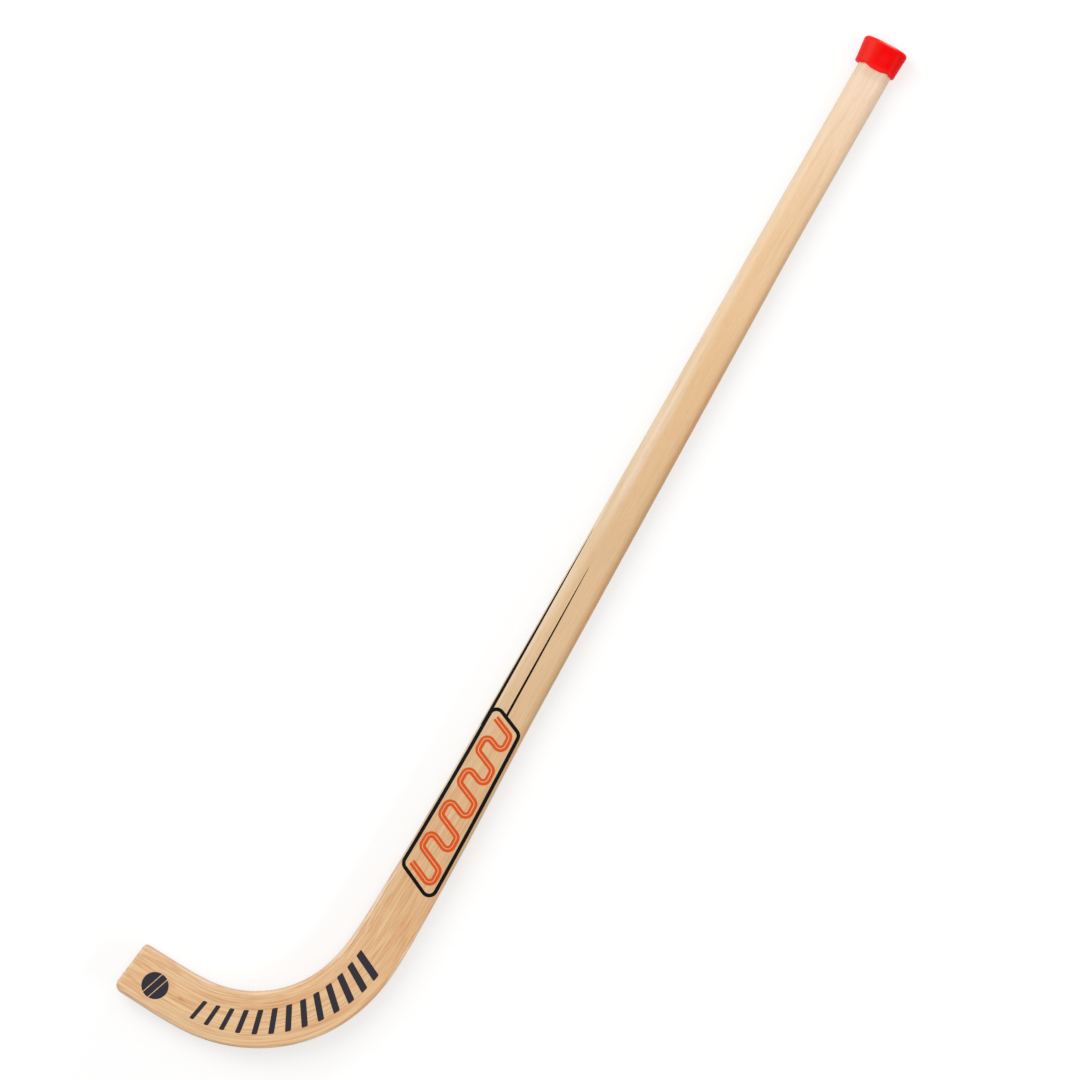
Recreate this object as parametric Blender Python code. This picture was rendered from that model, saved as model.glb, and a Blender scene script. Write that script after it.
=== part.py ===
"""Roller hockey stick: bent from glued wooden laths, with a push-on rubber cap over its butt.

The stick lies flat. Its shaft runs along X with the butt at +X, and its blade hooks round to +Y.
"Along" is a distance down the inner edge, from the butt to the blade's tip. "Across" is a distance
square to that edge, from the inner edge of the stick to its outer edge. Each lath is the slice of
the shaped stick that lies between two curves parallel to the inner edge, so an outer lath thins
to nothing where the shaft tapers past it. All lengths are in metres.
"""

import math

import bmesh
import bpy
import numpy as np

# Inner edge, in the order it is met from the butt to the tip
SHAFT_LENGTH = 0.640
NECK_LENGTH = 0.180
NECK_RADIUS = 3.86
CROOK_LEAD_IN = 0.0816
CROOK_RADIUS = 0.0892
CROOK_LEAD_OUT = 0.0547
CROOK_ANGLE = math.radians(92.2)
BLADE_END_LENGTH = 0.0234

# Width between the inner and outer edges, where each stretch of the inner edge begins or ends
GRIP_LENGTH = 0.184
GRIP_WIDTH = 0.0295
WAIST_WIDTH = 0.0371
NECK_WIDTH = 0.0439
HEEL_WIDTH = 0.0476
BLADE_WIDTH = 0.0456
TIP_WIDTH = 0.0445

# Thickness and edge rounding
GRIP_THICKNESS = 0.0205
BLADE_THICKNESS = 0.018
ROUND_SHAFT_LENGTH = 0.450
SHAFT_EDGE_RADIUS = 0.008
BLADE_EDGE_RADIUS = 0.003
FAIRING = 0.030

# Outline of the blade's tip
TIP_LEAN = math.radians(5.1)
TIP_INNER_RADIUS = 0.003
TIP_OUTER_RADIUS = 0.008

# Laths
LATH_THICKNESS = 0.003
GLUE_LINE = 0.0002
FEATHER = 0.0004
NOTCH = 0.002
SHORTEST_LATH = 0.020

# Butt cap
CAP_LENGTH = 0.0255
CAP_CLEARANCE = 0.0003
CAP_WALL = 0.0022
CAP_END_WALL = 0.0030
CAP_FLARE = 0.00175
CAP_CORNER_RADIUS = 0.0035
CAP_CROWN = 0.0012
CAP_RIM_RISE = 0.0018

# Facets
SHAFT_STEP = 0.085
NECK_STEP = 0.045
TURN_STEP = math.radians(3.0)
ARC_FACET = 0.0018
MOST_FACETS = 5
CORNER_FACETS = 6
TIP_ROUNDING = (1.0, 0.5, 0.134, 0.0)

LINE_STEP = 0.0005
COLLECTION = "roller_hockey_stick"
ASH_TONES = ((0.80, 0.58, 0.37), (0.72, 0.50, 0.29), (0.77, 0.53, 0.31))
CAP_RED = (0.90, 0.012, 0.010)


def clear_scene():
    """Remove every object that the file starts with."""
    for obj in list(bpy.data.objects):
        bpy.data.objects.remove(obj, do_unlink=True)


def ramp(value):
    """Smooth step from 0 to 1, for a number or an array."""
    held = np.clip(value, 0.0, 1.0)
    return held * held * (3.0 - 2.0 * held)


class InnerEdge:
    """The stick's inner edge: straight shaft, leaning neck, crook and straight blade end."""

    def __init__(self):
        neck_bend = 1.0 / NECK_RADIUS
        crook_bend = 1.0 / CROOK_RADIUS
        turned_by_neck = neck_bend * (0.75 * NECK_LENGTH + 0.5 * CROOK_LEAD_IN)
        leads = 0.5 * (CROOK_LEAD_IN + CROOK_LEAD_OUT)
        crook_length = (CROOK_ANGLE - turned_by_neck) / crook_bend - leads

        self.waist = SHAFT_LENGTH
        self.neck_end = self.waist + NECK_LENGTH
        self.heel = self.neck_end + CROOK_LEAD_IN
        self.blade = self.heel + crook_length
        self.blade_end = self.blade + CROOK_LEAD_OUT
        self.tip = self.blade_end + BLADE_END_LENGTH

        self.along = np.arange(0.0, self.tip + TIP_WIDTH, LINE_STEP)
        bend = neck_bend * ramp((self.along - self.waist) / (0.5 * NECK_LENGTH))
        bend += (crook_bend - neck_bend) * ramp((self.along - self.neck_end) / CROOK_LEAD_IN)
        bend -= crook_bend * ramp((self.along - self.blade) / CROOK_LEAD_OUT)
        self.heading = self.summed(bend)
        self.x = self.summed(-np.cos(self.heading))
        self.y = self.summed(np.sin(self.heading))

    @staticmethod
    def summed(rate):
        """Running integral of a rate over the sampled line."""
        means = 0.5 * (rate[1:] + rate[:-1]) * LINE_STEP
        return np.concatenate([[0.0], np.cumsum(means)])

    def heading_at(self, along):
        return float(np.interp(along, self.along, self.heading))

    def point(self, along, across):
        """Plan position (x, y) of a point, with the butt's inner corner at the origin."""
        turn = self.heading_at(along)
        x = float(np.interp(along, self.along, self.x)) - across * math.sin(turn)
        y = float(np.interp(along, self.along, self.y)) - across * math.cos(turn)
        return x, y


EDGE = InnerEdge()


def faired(along, stations):
    """Value at a place, read off straight runs between stations and faired over their joins."""
    places, values = zip(*stations)
    reach = np.linspace(along - FAIRING, along + FAIRING, 13)
    return float(np.interp(reach, places, values).mean())


def width_at(along):
    return faired(
        along,
        (
            (GRIP_LENGTH, GRIP_WIDTH),
            (EDGE.waist, WAIST_WIDTH),
            (EDGE.neck_end, NECK_WIDTH),
            (EDGE.heel, HEEL_WIDTH),
            (EDGE.blade, BLADE_WIDTH),
            (EDGE.tip, TIP_WIDTH),
        ),
    )


def thickness_at(along):
    return faired(along, ((GRIP_LENGTH, GRIP_THICKNESS), (EDGE.waist, BLADE_THICKNESS)))


def edge_radius_at(along):
    """Rounding of the long edges, never more than the section has room for."""
    wanted = faired(
        along, ((ROUND_SHAFT_LENGTH, SHAFT_EDGE_RADIUS), (EDGE.neck_end, BLADE_EDGE_RADIUS))
    )
    return min(wanted, 0.48 * thickness_at(along), 0.48 * width_at(along))


def rounded_depth(depth, radius):
    """How far a rounded corner stands back at a depth in from the edge."""
    inside = max(0.0, radius - depth)
    return radius - math.sqrt(max(0.0, radius * radius - inside * inside))


def tip_setback(across, width):
    """How far the tip's rounded corners stand back from its straight end line."""
    inner = rounded_depth(across, TIP_INNER_RADIUS)
    outer = rounded_depth(width - across, TIP_OUTER_RADIUS)
    return max(inner, outer)


def tip_along(across, width):
    """Where the blade ends, at a distance across."""
    end_line = EDGE.tip + across * math.tan(TIP_LEAN)
    return end_line - tip_setback(across, width) / math.cos(TIP_LEAN)


def corner_distance(to_end, to_side, radius):
    """Distance to the outline near a tip corner, from the distances to its two sides."""
    if to_end < radius and to_side < radius:
        return radius - math.hypot(radius - to_end, radius - to_side)
    return min(to_end, to_side)


def edge_distance(along, across, width):
    """Distance from a point in plan to the nearest place on the outline."""
    to_end = (EDGE.tip + across * math.tan(TIP_LEAN) - along) * math.cos(TIP_LEAN)
    inner = corner_distance(to_end, across, TIP_INNER_RADIUS)
    outer = corner_distance(to_end, width - across, TIP_OUTER_RADIUS)
    return max(0.0, min(inner, outer))


def half_height(along, across, width):
    """Height of the surface above the stick's middle plane."""
    radius = edge_radius_at(along)
    depth = edge_distance(along, across, width)
    return 0.5 * thickness_at(along) - rounded_depth(depth, radius)


def girth_to(across, width, radius):
    """Length over the rounded top of the section, from the inner edge to a distance across."""
    from_inner = min(across, radius)
    from_outer = min(width - across, radius)
    flat = min(max(across - radius, 0.0), width - 2.0 * radius)
    inner_arc = radius * math.acos(1.0 - from_inner / radius)
    outer_arc = radius * (0.5 * math.pi - math.acos(1.0 - from_outer / radius))
    return inner_arc + flat + outer_arc


def across_at(girth, width, radius):
    """Distance across for a length over the rounded top: the inverse of girth_to."""
    arc = 0.5 * math.pi * radius
    flat = width - 2.0 * radius
    if girth < arc:
        return radius * (1.0 - math.cos(girth / radius))
    if girth < arc + flat:
        return radius + girth - arc
    return width - radius * (1.0 - math.cos((2.0 * arc + flat - girth) / radius))


def tip_zone():
    """Where the blade's last stretch begins, in which its rings lean over to follow the tip."""
    return EDGE.tip - 1.5 * max(TIP_OUTER_RADIUS, TIP_INNER_RADIUS, BLADE_EDGE_RADIUS)


def shared_stations():
    """Places along the stick where every lath has a ring: its butt, the cap's rim and onwards."""
    places = [0.0, CAP_LENGTH]
    while places[-1] < tip_zone():
        here = places[-1]
        step = SHAFT_STEP if here < EDGE.waist - SHAFT_STEP else NECK_STEP
        turning = EDGE.heading_at(here + 0.5 * step) - EDGE.heading_at(here)
        while turning > 0.5 * TURN_STEP:
            step *= 0.8
            turning = EDGE.heading_at(here + 0.5 * step) - EDGE.heading_at(here)
        places.append(here + step)
    return places[:-1] + [tip_zone()]


class Lath:
    """One lath of the blank: the slice of the stick between two curves parallel to its edge."""

    def __init__(self, near, start, end):
        self.near = near
        self.start = start
        self.end = end
        self.outer = None

    def far(self, along):
        """Its outer face, across: a glue line, or the stick's own edge where no lath lies outside."""
        if self.outer and self.outer.start <= along <= self.outer.end:
            return self.outer.near - GLUE_LINE
        return width_at(along)

    def stations(self):
        """Places of its square rings: the shared ones, its ends and the ends of the lath outside."""
        places = shared_stations()
        if self.outer and self.outer.start > 0.0:
            places += [self.outer.start - NOTCH, self.outer.start]
        if self.outer and self.outer.end < EDGE.tip:
            places += [self.outer.end, self.outer.end + NOTCH]
        places = [self.start] + [p for p in places if self.start < p < self.end]
        if self.end < EDGE.tip:
            places.append(self.end)
        places.sort()
        kept = places[:1]
        for place in places[1:]:
            if place - kept[-1] > 0.5 * NOTCH:
                kept.append(place)
        return kept

    def facets(self, stations):
        """How many facets it needs over its top, from the ring with most rounding in it."""
        most = 1
        for place in stations:
            width = width_at(place)
            radius = edge_radius_at(place)
            far = self.far(place)
            rounded = min(far, radius) - min(self.near, radius)
            rounded += max(far, width - radius) - max(self.near, width - radius)
            if rounded > 0.0:
                girth = girth_to(far, width, radius) - girth_to(self.near, width, radius)
                most = max(most, math.ceil(girth / ARC_FACET))
        return min(most, MOST_FACETS)

    def spread(self, along, facets):
        """Distances across for the points of one ring, even over the rounded top."""
        width = width_at(along)
        radius = edge_radius_at(along)
        near = girth_to(self.near, width, radius)
        far = girth_to(self.far(along), width, radius)
        return width, [across_at(g, width, radius) for g in np.linspace(near, far, facets + 1)]

    def square_ring(self, along, facets):
        """Points of one ring square to the stick: a list of (along, across, height)."""
        width, spread = self.spread(along, facets)
        return [(along, across, half_height(along, across, width)) for across in spread]

    def tip_ring(self, setback, facets):
        """Points of one ring that follows the tip, a distance back from it."""
        zone = tip_zone()
        share = 1.0 - setback / (EDGE.tip - zone)
        width, spread = self.spread(zone + share * (EDGE.tip - zone), facets)
        ring = []
        for across in spread:
            along = zone + share * (tip_along(across, width) - zone)
            ring.append((along, across, half_height(along, across, width)))
        return ring

    def rings(self):
        """All its rings from butt to tip, each with the same number of points."""
        stations = self.stations()
        facets = self.facets(stations)
        rings = [self.square_ring(along, facets) for along in stations]
        if self.end == EDGE.tip:
            setbacks = [BLADE_EDGE_RADIUS * share for share in TIP_ROUNDING]
            rings += [self.tip_ring(setback, facets) for setback in setbacks]
        return rings


def plan_laths():
    """Every lath from the inner edge outwards, each as long as the stick is wide enough for it."""
    places = [*np.arange(0.0, EDGE.tip, LINE_STEP), EDGE.tip]
    widths = [width_at(place) for place in places]
    widest = widths.index(max(widths))
    laths = []
    while True:
        near = len(laths) * LATH_THICKNESS + (0.5 * GLUE_LINE if laths else 0.0)
        if widths[widest] < near + FEATHER:
            return laths
        first = widest
        while first > 0 and widths[first - 1] >= near + FEATHER:
            first -= 1
        last = widest
        while last < len(places) - 1 and widths[last + 1] >= near + FEATHER:
            last += 1
        end = EDGE.tip if last == len(places) - 1 else min(places[last], tip_zone())
        if end - places[first] < SHORTEST_LATH:
            return laths
        laths.append(Lath(near, float(places[first]), float(end)))
        if len(laths) > 1:
            laths[-2].outer = laths[-1]


def loft_lath(name, rings):
    """Close a lath's rings into one solid: tops, bottoms, two long faces and two ends."""
    shape = bmesh.new()
    tops = []
    bottoms = []
    for ring in rings:
        plan = [(*EDGE.point(along, across), height) for along, across, height in ring]
        tops.append([shape.verts.new((x, y, z)) for x, y, z in plan])
        bottoms.append([shape.verts.new((x, y, -z)) for x, y, z in plan])
    count = len(tops[0])
    for here in range(len(rings) - 1):
        after = here + 1
        for k in range(count - 1):
            shape.faces.new((tops[here][k], tops[here][k + 1], tops[after][k + 1], tops[after][k]))
            shape.faces.new(
                (bottoms[here][k], bottoms[after][k], bottoms[after][k + 1], bottoms[here][k + 1])
            )
        for side in (0, count - 1):
            shape.faces.new(
                (tops[here][side], tops[after][side], bottoms[after][side], bottoms[here][side])
            )
    for end in (0, len(rings) - 1):
        for k in range(count - 1):
            shape.faces.new((tops[end][k], tops[end][k + 1], bottoms[end][k + 1], bottoms[end][k]))
    return mesh_from(name, shape)


def mesh_from(name, shape):
    """Turn a closed bmesh into mesh data whose faces point outwards."""
    bmesh.ops.recalc_face_normals(shape, faces=shape.faces)
    if shape.calc_volume(signed=True) < 0.0:
        bmesh.ops.reverse_faces(shape, faces=shape.faces)
    mesh = bpy.data.meshes.new(name)
    shape.to_mesh(mesh)
    shape.free()
    mesh.shade_smooth()
    mesh.set_sharp_from_angle(angle=math.radians(35))
    return mesh


def plain_material(name, colour, roughness):
    material = bpy.data.materials.new(name)
    material.use_nodes = True
    shader = material.node_tree.nodes["Principled BSDF"]
    shader.inputs["Base Color"].default_value = (*colour, 1.0)
    shader.inputs["Roughness"].default_value = roughness
    shader.inputs["Metallic"].default_value = 0.0
    return material


def add_piece(name, mesh, material, collection):
    mesh.materials.append(material)
    piece = bpy.data.objects.new(name, mesh)
    collection.objects.link(piece)
    return piece


def make_laths(collection):
    """One solid for each lath, from the inner edge to the heel."""
    pieces = []
    for index, lath in enumerate(plan_laths()):
        name = f"lath_{index + 1:02d}"
        material = plain_material(f"{name}_ash", ASH_TONES[index % len(ASH_TONES)], 0.35)
        pieces.append(add_piece(name, loft_lath(name, lath.rings()), material, collection))
    return pieces


def cap_outline(grow):
    """The butt's section grown outwards, as (y, z) points about its centre, anticlockwise."""
    half_width = 0.5 * width_at(0.0) + grow
    half_thickness = 0.5 * thickness_at(0.0) + grow
    radius = max(edge_radius_at(0.0) + grow, 0.0)
    corners = ((1, 1, 0), (-1, 1, 1), (-1, -1, 2), (1, -1, 3))
    outline = []
    for side, top, quarter in corners:
        centre_y = side * (half_width - radius)
        centre_z = top * (half_thickness - radius)
        for k in range(CORNER_FACETS + 1):
            angle = 0.5 * math.pi * (quarter + k / CORNER_FACETS)
            outline.append((centre_y + radius * math.cos(angle), centre_z + radius * math.sin(angle)))
        if top * side > 0:
            flat = centre_y
            outline += [(flat * share, top * half_thickness) for share in (0.5, 0.0, -0.5)]
    return outline


def rim_rise(y, half_width):
    """How far the rim stands back over the broad faces, leaving an ear at each narrow side."""
    return CAP_RIM_RISE * float(ramp((0.95 - abs(y) / half_width) / 0.4))


def cap_rings():
    """Rings of the cap from the middle of its end, over its skin and rim, into its socket."""
    socket_end = CAP_CLEARANCE
    top = socket_end + CAP_END_WALL
    rim = top - CAP_LENGTH
    skin = CAP_CLEARANCE + CAP_WALL
    flared = skin + CAP_FLARE
    corner = min(CAP_CORNER_RADIUS, 0.4 * CAP_LENGTH)
    lip = 0.5 * CAP_WALL

    rings = []
    for share in (0.35, 0.7):
        crown = CAP_CROWN * (1.0 - share * share)
        rings.append((top - CAP_CROWN + crown, flared - corner, share, 0.0))
    for k in range(CORNER_FACETS + 1):
        angle = 0.5 * math.pi * (1.0 - k / CORNER_FACETS)
        place = top - CAP_CROWN - corner + corner * math.sin(angle)
        rings.append((place, flared - corner + corner * math.cos(angle), 1.0, 0.0))
    rings.append((0.5 * (top + rim), skin + 0.45 * CAP_FLARE, 1.0, 0.3))
    rings.append((rim + 2.0 * lip, skin, 1.0, 1.0))
    for angle in (0.25 * math.pi, 0.5 * math.pi, 0.75 * math.pi):
        rings.append((rim + lip - lip * math.sin(angle), skin - lip + lip * math.cos(angle), 1.0, 1.0))
    rings.append((rim + 2.0 * lip, CAP_CLEARANCE, 1.0, 1.0))
    rings.append((0.5 * (socket_end + rim), CAP_CLEARANCE, 1.0, 0.3))
    rings.append((socket_end, CAP_CLEARANCE, 1.0, 0.0))
    rings.append((socket_end, CAP_CLEARANCE, 0.4, 0.0))
    return rings, top


def make_cap(collection):
    """The rubber cap: a flared skin with a crowned end and a wavy rim, open to take the butt."""
    rings, top = cap_rings()
    half_width = 0.5 * width_at(0.0) + CAP_CLEARANCE + CAP_WALL
    shape = bmesh.new()
    loops = []
    for place, grow, share, waving in rings:
        loop = []
        for y, z in cap_outline(grow):
            x = place + waving * rim_rise(y, half_width)
            loop.append(shape.verts.new((x, share * y, share * z)))
        loops.append(loop)
    for here, after in zip(loops, loops[1:]):
        for k in range(len(here)):
            following = (k + 1) % len(here)
            shape.faces.new((here[k], here[following], after[following], after[k]))
    for loop, place in ((loops[0], top), (loops[-1], CAP_CLEARANCE)):
        middle = shape.verts.new((place, 0.0, 0.0))
        for k in range(len(loop)):
            shape.faces.new((loop[k], loop[(k + 1) % len(loop)], middle))
    rubber = plain_material("cap_rubber", CAP_RED, 0.3)
    cap = add_piece("butt_cap", mesh_from("butt_cap", shape), rubber, collection)
    cap.location = (0.0, -0.5 * width_at(0.0), 0.0)
    return cap


def place_stick(pieces, collection):
    """Hang the pieces on an empty that puts the middle of the stick's underside at the origin."""
    corners = []
    for piece in pieces:
        offset = np.array(piece.location)
        corners += [offset + np.array(vertex.co) for vertex in piece.data.vertices]
    low = np.min(corners, axis=0)
    high = np.max(corners, axis=0)
    middle = 0.5 * (low + high)
    frame = bpy.data.objects.new("stick_frame", None)
    frame.location = (-middle[0], -middle[1], -low[2])
    collection.objects.link(frame)
    for piece in pieces:
        piece.parent = frame


def main():
    clear_scene()
    collection = bpy.data.collections.new(COLLECTION)
    bpy.context.scene.collection.children.link(collection)
    pieces = make_laths(collection) + [make_cap(collection)]
    place_stick(pieces, collection)


main()
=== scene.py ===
"""Looks of the roller hockey stick: lacquered ash laths, printed trim and a red rubber butt cap.

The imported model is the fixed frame. A place on the stick is given by its distance along the inner
edge, from the butt to the tip, and its distance across, from the inner edge to the outer one. The
form of the stick repeats the sizes of the part's source, so each piece lies where its solid does.
All lengths are in metres.
"""

import logging
import math
from dataclasses import dataclass, field
from enum import Enum
from typing import Sequence

import bpy
import numpy as np
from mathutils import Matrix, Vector


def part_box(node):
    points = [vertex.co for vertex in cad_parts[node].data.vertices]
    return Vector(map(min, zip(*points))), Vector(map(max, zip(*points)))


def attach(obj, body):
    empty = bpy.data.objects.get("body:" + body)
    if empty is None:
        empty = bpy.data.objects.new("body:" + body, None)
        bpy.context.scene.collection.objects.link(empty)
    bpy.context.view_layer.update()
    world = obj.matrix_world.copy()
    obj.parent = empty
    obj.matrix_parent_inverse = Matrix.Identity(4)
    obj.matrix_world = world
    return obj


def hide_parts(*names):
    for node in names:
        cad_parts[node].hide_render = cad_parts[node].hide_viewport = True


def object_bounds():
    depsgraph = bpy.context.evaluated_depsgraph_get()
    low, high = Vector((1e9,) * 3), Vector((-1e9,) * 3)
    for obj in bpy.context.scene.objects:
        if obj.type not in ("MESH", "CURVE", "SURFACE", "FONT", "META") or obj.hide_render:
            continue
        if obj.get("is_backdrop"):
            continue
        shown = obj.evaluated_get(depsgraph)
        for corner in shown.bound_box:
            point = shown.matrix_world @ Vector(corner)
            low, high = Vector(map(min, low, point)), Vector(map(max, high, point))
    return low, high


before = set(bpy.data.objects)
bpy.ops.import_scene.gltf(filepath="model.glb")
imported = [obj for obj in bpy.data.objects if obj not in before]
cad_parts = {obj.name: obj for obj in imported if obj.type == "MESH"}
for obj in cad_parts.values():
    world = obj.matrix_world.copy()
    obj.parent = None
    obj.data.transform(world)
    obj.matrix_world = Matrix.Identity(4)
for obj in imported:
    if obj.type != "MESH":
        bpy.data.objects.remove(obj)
cad_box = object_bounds()

log = logging.getLogger("stick")

Array = np.ndarray
ArrayPair = tuple[np.ndarray, np.ndarray]
Colour = tuple[float, float, float, float]
Pair = tuple[float, float]
Piece = bpy.types.Object
Socket = bpy.types.NodeSocket
Triple = tuple[float, float, float]


class Body(Enum):
    """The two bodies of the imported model."""

    STICK = "stick"
    CAP = "cap"


class Slot(Enum):
    """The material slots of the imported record."""

    WOOD = "ash_wood"
    RUBBER = "cap_rubber"


class Side(Enum):
    """The two broad faces of the stick, by the sign of their height over its middle plane."""

    UPPER = 1.0
    LOWER = -1.0


def display(red: int, green: int, blue: int) -> Colour:
    """A linear colour for Blender, by the standard curve of screens.

    Args:
        red: Red as a screen shows it, 0 to 255.
        green: Green, 0 to 255.
        blue: Blue, 0 to 255.

    Returns:
        The colour with an alpha of 1.
    """
    shares = [value / 255.0 for value in (red, green, blue)]
    linear = [s / 12.92 if s <= 0.04045 else ((s + 0.055) / 1.055) ** 2.4 for s in shares]
    return (linear[0], linear[1], linear[2], 1.0)


def ramp(value: Array) -> Array:
    """Smooth step from 0 to 1."""
    held = np.clip(value, 0.0, 1.0)
    return held * held * (3.0 - 2.0 * held)


def unit(vectors: Array) -> Array:
    """Vectors of length 1 in the same directions."""
    lengths = np.linalg.norm(vectors, axis=-1, keepdims=True)
    return vectors / np.maximum(lengths, 1e-12)


def cells(grid: Array) -> Array:
    """The values at the four corners of each cell of a grid, round from its first one."""
    return np.stack([grid[:-1, :-1], grid[1:, :-1], grid[1:, 1:], grid[:-1, 1:]], axis=2)


@dataclass
class InnerEdge:
    """The stick's inner edge: straight shaft, leaning neck, crook and straight blade end."""

    shaft_length: float = 0.640
    neck_length: float = 0.180
    neck_lead_in: float = 0.090
    neck_radius: float = 3.86
    crook_lead_in: float = 0.0816
    crook_radius: float = 0.0892
    crook_lead_out: float = 0.0547
    crook_angle: float = math.radians(92.2)
    blade_end_length: float = 0.0234
    run_on: float = 0.050
    step: float = 0.0005

    def __post_init__(self) -> None:
        """Sum the bend along the edge into its heading and its plan line."""
        neck_bend = 1.0 / self.neck_radius
        crook_bend = 1.0 / self.crook_radius
        by_neck = neck_bend * (self.neck_length + 0.5 * (self.crook_lead_in - self.neck_lead_in))
        leads = 0.5 * (self.crook_lead_in + self.crook_lead_out)
        self.waist = self.shaft_length
        self.neck_end = self.waist + self.neck_length
        self.heel = self.neck_end + self.crook_lead_in
        self.blade = self.heel + (self.crook_angle - by_neck) / crook_bend - leads
        self.tip = self.blade + self.crook_lead_out + self.blade_end_length
        self.along = np.arange(0.0, self.tip + self.run_on, self.step)
        self.bend = neck_bend * ramp((self.along - self.waist) / self.neck_lead_in)
        into_crook = ramp((self.along - self.neck_end) / self.crook_lead_in)
        self.bend += (crook_bend - neck_bend) * into_crook
        self.bend -= crook_bend * ramp((self.along - self.blade) / self.crook_lead_out)
        self.heading = self.summed(self.bend)
        self.x = self.summed(-np.cos(self.heading))
        self.y = self.summed(np.sin(self.heading))

    def summed(self, rate: Array) -> Array:
        """Running integral of a rate over the sampled edge."""
        return np.concatenate([[0.0], np.cumsum(0.5 * (rate[1:] + rate[:-1]) * self.step)])

    def read(self, values: Array, along: Array) -> Array:
        """Values of the sampled edge at any places along it."""
        return np.interp(along, self.along, values)


@dataclass
class StickForm:
    """The shaped blank: its width, thickness and rounding along the inner edge, and its tip."""

    edge: InnerEdge = field(default_factory=InnerEdge)
    grip_length: float = 0.184
    grip_width: float = 0.0295
    waist_width: float = 0.0371
    neck_width: float = 0.0439
    heel_width: float = 0.0476
    blade_width: float = 0.0456
    tip_width: float = 0.0445
    grip_thickness: float = 0.0205
    blade_thickness: float = 0.018
    round_shaft_length: float = 0.450
    shaft_edge_radius: float = 0.008
    blade_edge_radius: float = 0.003
    fairing: float = 0.030
    fairing_samples: int = 13
    tip_lean: float = math.radians(5.1)
    tip_inner_radius: float = 0.003
    tip_outer_radius: float = 0.008
    probe: float = 1e-6

    def __post_init__(self) -> None:
        """Sample the driving sizes along the edge and take the stick's place from the frame."""
        e = self.edge
        places = (self.grip_length, e.waist, e.neck_end, e.heel, e.blade, e.tip)
        sizes = (self.grip_width, self.waist_width, self.neck_width)
        sizes += (self.heel_width, self.blade_width, self.tip_width)
        self.widths = self.faired(places, sizes)
        places = (self.grip_length, e.waist)
        self.thicknesses = self.faired(places, (self.grip_thickness, self.blade_thickness))
        places = (self.round_shaft_length, e.neck_end)
        self.radii = self.faired(places, (self.shaft_edge_radius, self.blade_edge_radius))
        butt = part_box("lath_01")[1]
        low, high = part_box("butt_cap")
        inner = 0.5 * (low.y + high.y) + 0.5 * float(self.width_at(0.0))
        self.origin = np.array([butt.x, inner, 0.5 * (low.z + high.z)])

    def faired(self, places: Sequence[float], values: Sequence[float]) -> Array:
        """Straight runs between sizes at places along, faired over their joins."""
        reach = np.linspace(-self.fairing, self.fairing, self.fairing_samples)
        return np.interp(self.edge.along[:, None] + reach, places, values).mean(axis=1)

    def width_at(self, along: Array) -> Array:
        """Width of the stick, square to its inner edge."""
        return self.edge.read(self.widths, along)

    def radius_at(self, along: Array) -> Array:
        """Rounding of the long edges."""
        return self.edge.read(self.radii, along)

    def stretch(self, along: Array, across: Array) -> Array:
        """How much longer a line is at a distance across than at the inner edge."""
        return 1.0 + across * self.edge.read(self.edge.bend, along)

    def end_line(self, across: Array) -> Array:
        """The distance along of the tip's leaning line, before its corners are rounded."""
        return self.edge.tip + across * math.tan(self.tip_lean)

    def tip_along(self, across: Array, width: Array) -> Array:
        """Where the blade ends, at a distance across.

        Args:
            across: Distances across.
            width: Width of the stick there.

        Returns:
            The distance along of the tip's rounded, leaning outline.
        """
        inner = rounded_depth(across, self.tip_inner_radius)
        outer = rounded_depth(width - across, self.tip_outer_radius)
        return self.end_line(across) - np.maximum(inner, outer) / math.cos(self.tip_lean)

    def depth(self, along: Array, across: Array) -> Array:
        """Distance in plan from places to the outline.

        Args:
            along: Distances along.
            across: Distances across, of the same shape.

        Returns:
            The distances, below zero outside the outline.
        """
        to_end = (self.end_line(across) - along) * math.cos(self.tip_lean)
        inner = corner_distance(to_end, across, self.tip_inner_radius)
        outer = corner_distance(to_end, self.width_at(along) - across, self.tip_outer_radius)
        return np.minimum(inner, outer)

    def outward(self, along: Array, across: Array) -> Array:
        """Plan direction from places to the nearest outline.

        Args:
            along: Distances along.
            across: Distances across, of the same shape.

        Returns:
            Unit vectors (x, y).
        """
        h = self.probe
        slope_along = self.depth(along + h, across) - self.depth(along - h, across)
        slope_across = self.depth(along, across + h) - self.depth(along, across - h)
        turn = self.edge.read(self.edge.heading, along)
        x = slope_along * np.cos(turn) + slope_across * np.sin(turn)
        y = -slope_along * np.sin(turn) + slope_across * np.cos(turn)
        return unit(np.stack([x, y], axis=-1))

    def skin(self, along: Array, across: Array, side: Side, lift: float = 0.0) -> ArrayPair:
        """Points and normals of the stick's surface.

        Args:
            along: Distances along.
            across: Distances across, of the same shape.
            side: Which broad face.
            lift: How far the points stand off the surface.

        Returns:
            World points and unit normals, with a last axis of 3.
        """
        radius = self.radius_at(along)
        inside = np.maximum(radius - np.maximum(self.depth(along, across), 0.0), 0.0)
        lean = inside / radius
        rise = np.sqrt(np.maximum(1.0 - lean * lean, 0.0))
        height = 0.5 * self.edge.read(self.thicknesses, along) - radius + radius * rise
        turn = self.edge.read(self.edge.heading, along)
        x = self.origin[0] + self.edge.read(self.edge.x, along) - across * np.sin(turn)
        y = self.origin[1] + self.edge.read(self.edge.y, along) - across * np.cos(turn)
        points = np.stack([x, y, self.origin[2] + side.value * height], axis=-1)
        outward = self.outward(along, across) * lean[..., None]
        normals = np.concatenate([outward, side.value * rise[..., None]], axis=-1)
        return points + lift * normals, normals

    def grain(self, along: Array, across: Array, points: Array) -> Array:
        """The coordinates that finishes read: along, across and height over the middle plane."""
        height = points[..., 2] - self.origin[2]
        return np.stack(np.broadcast_arrays(along, across, height), axis=-1)


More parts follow.
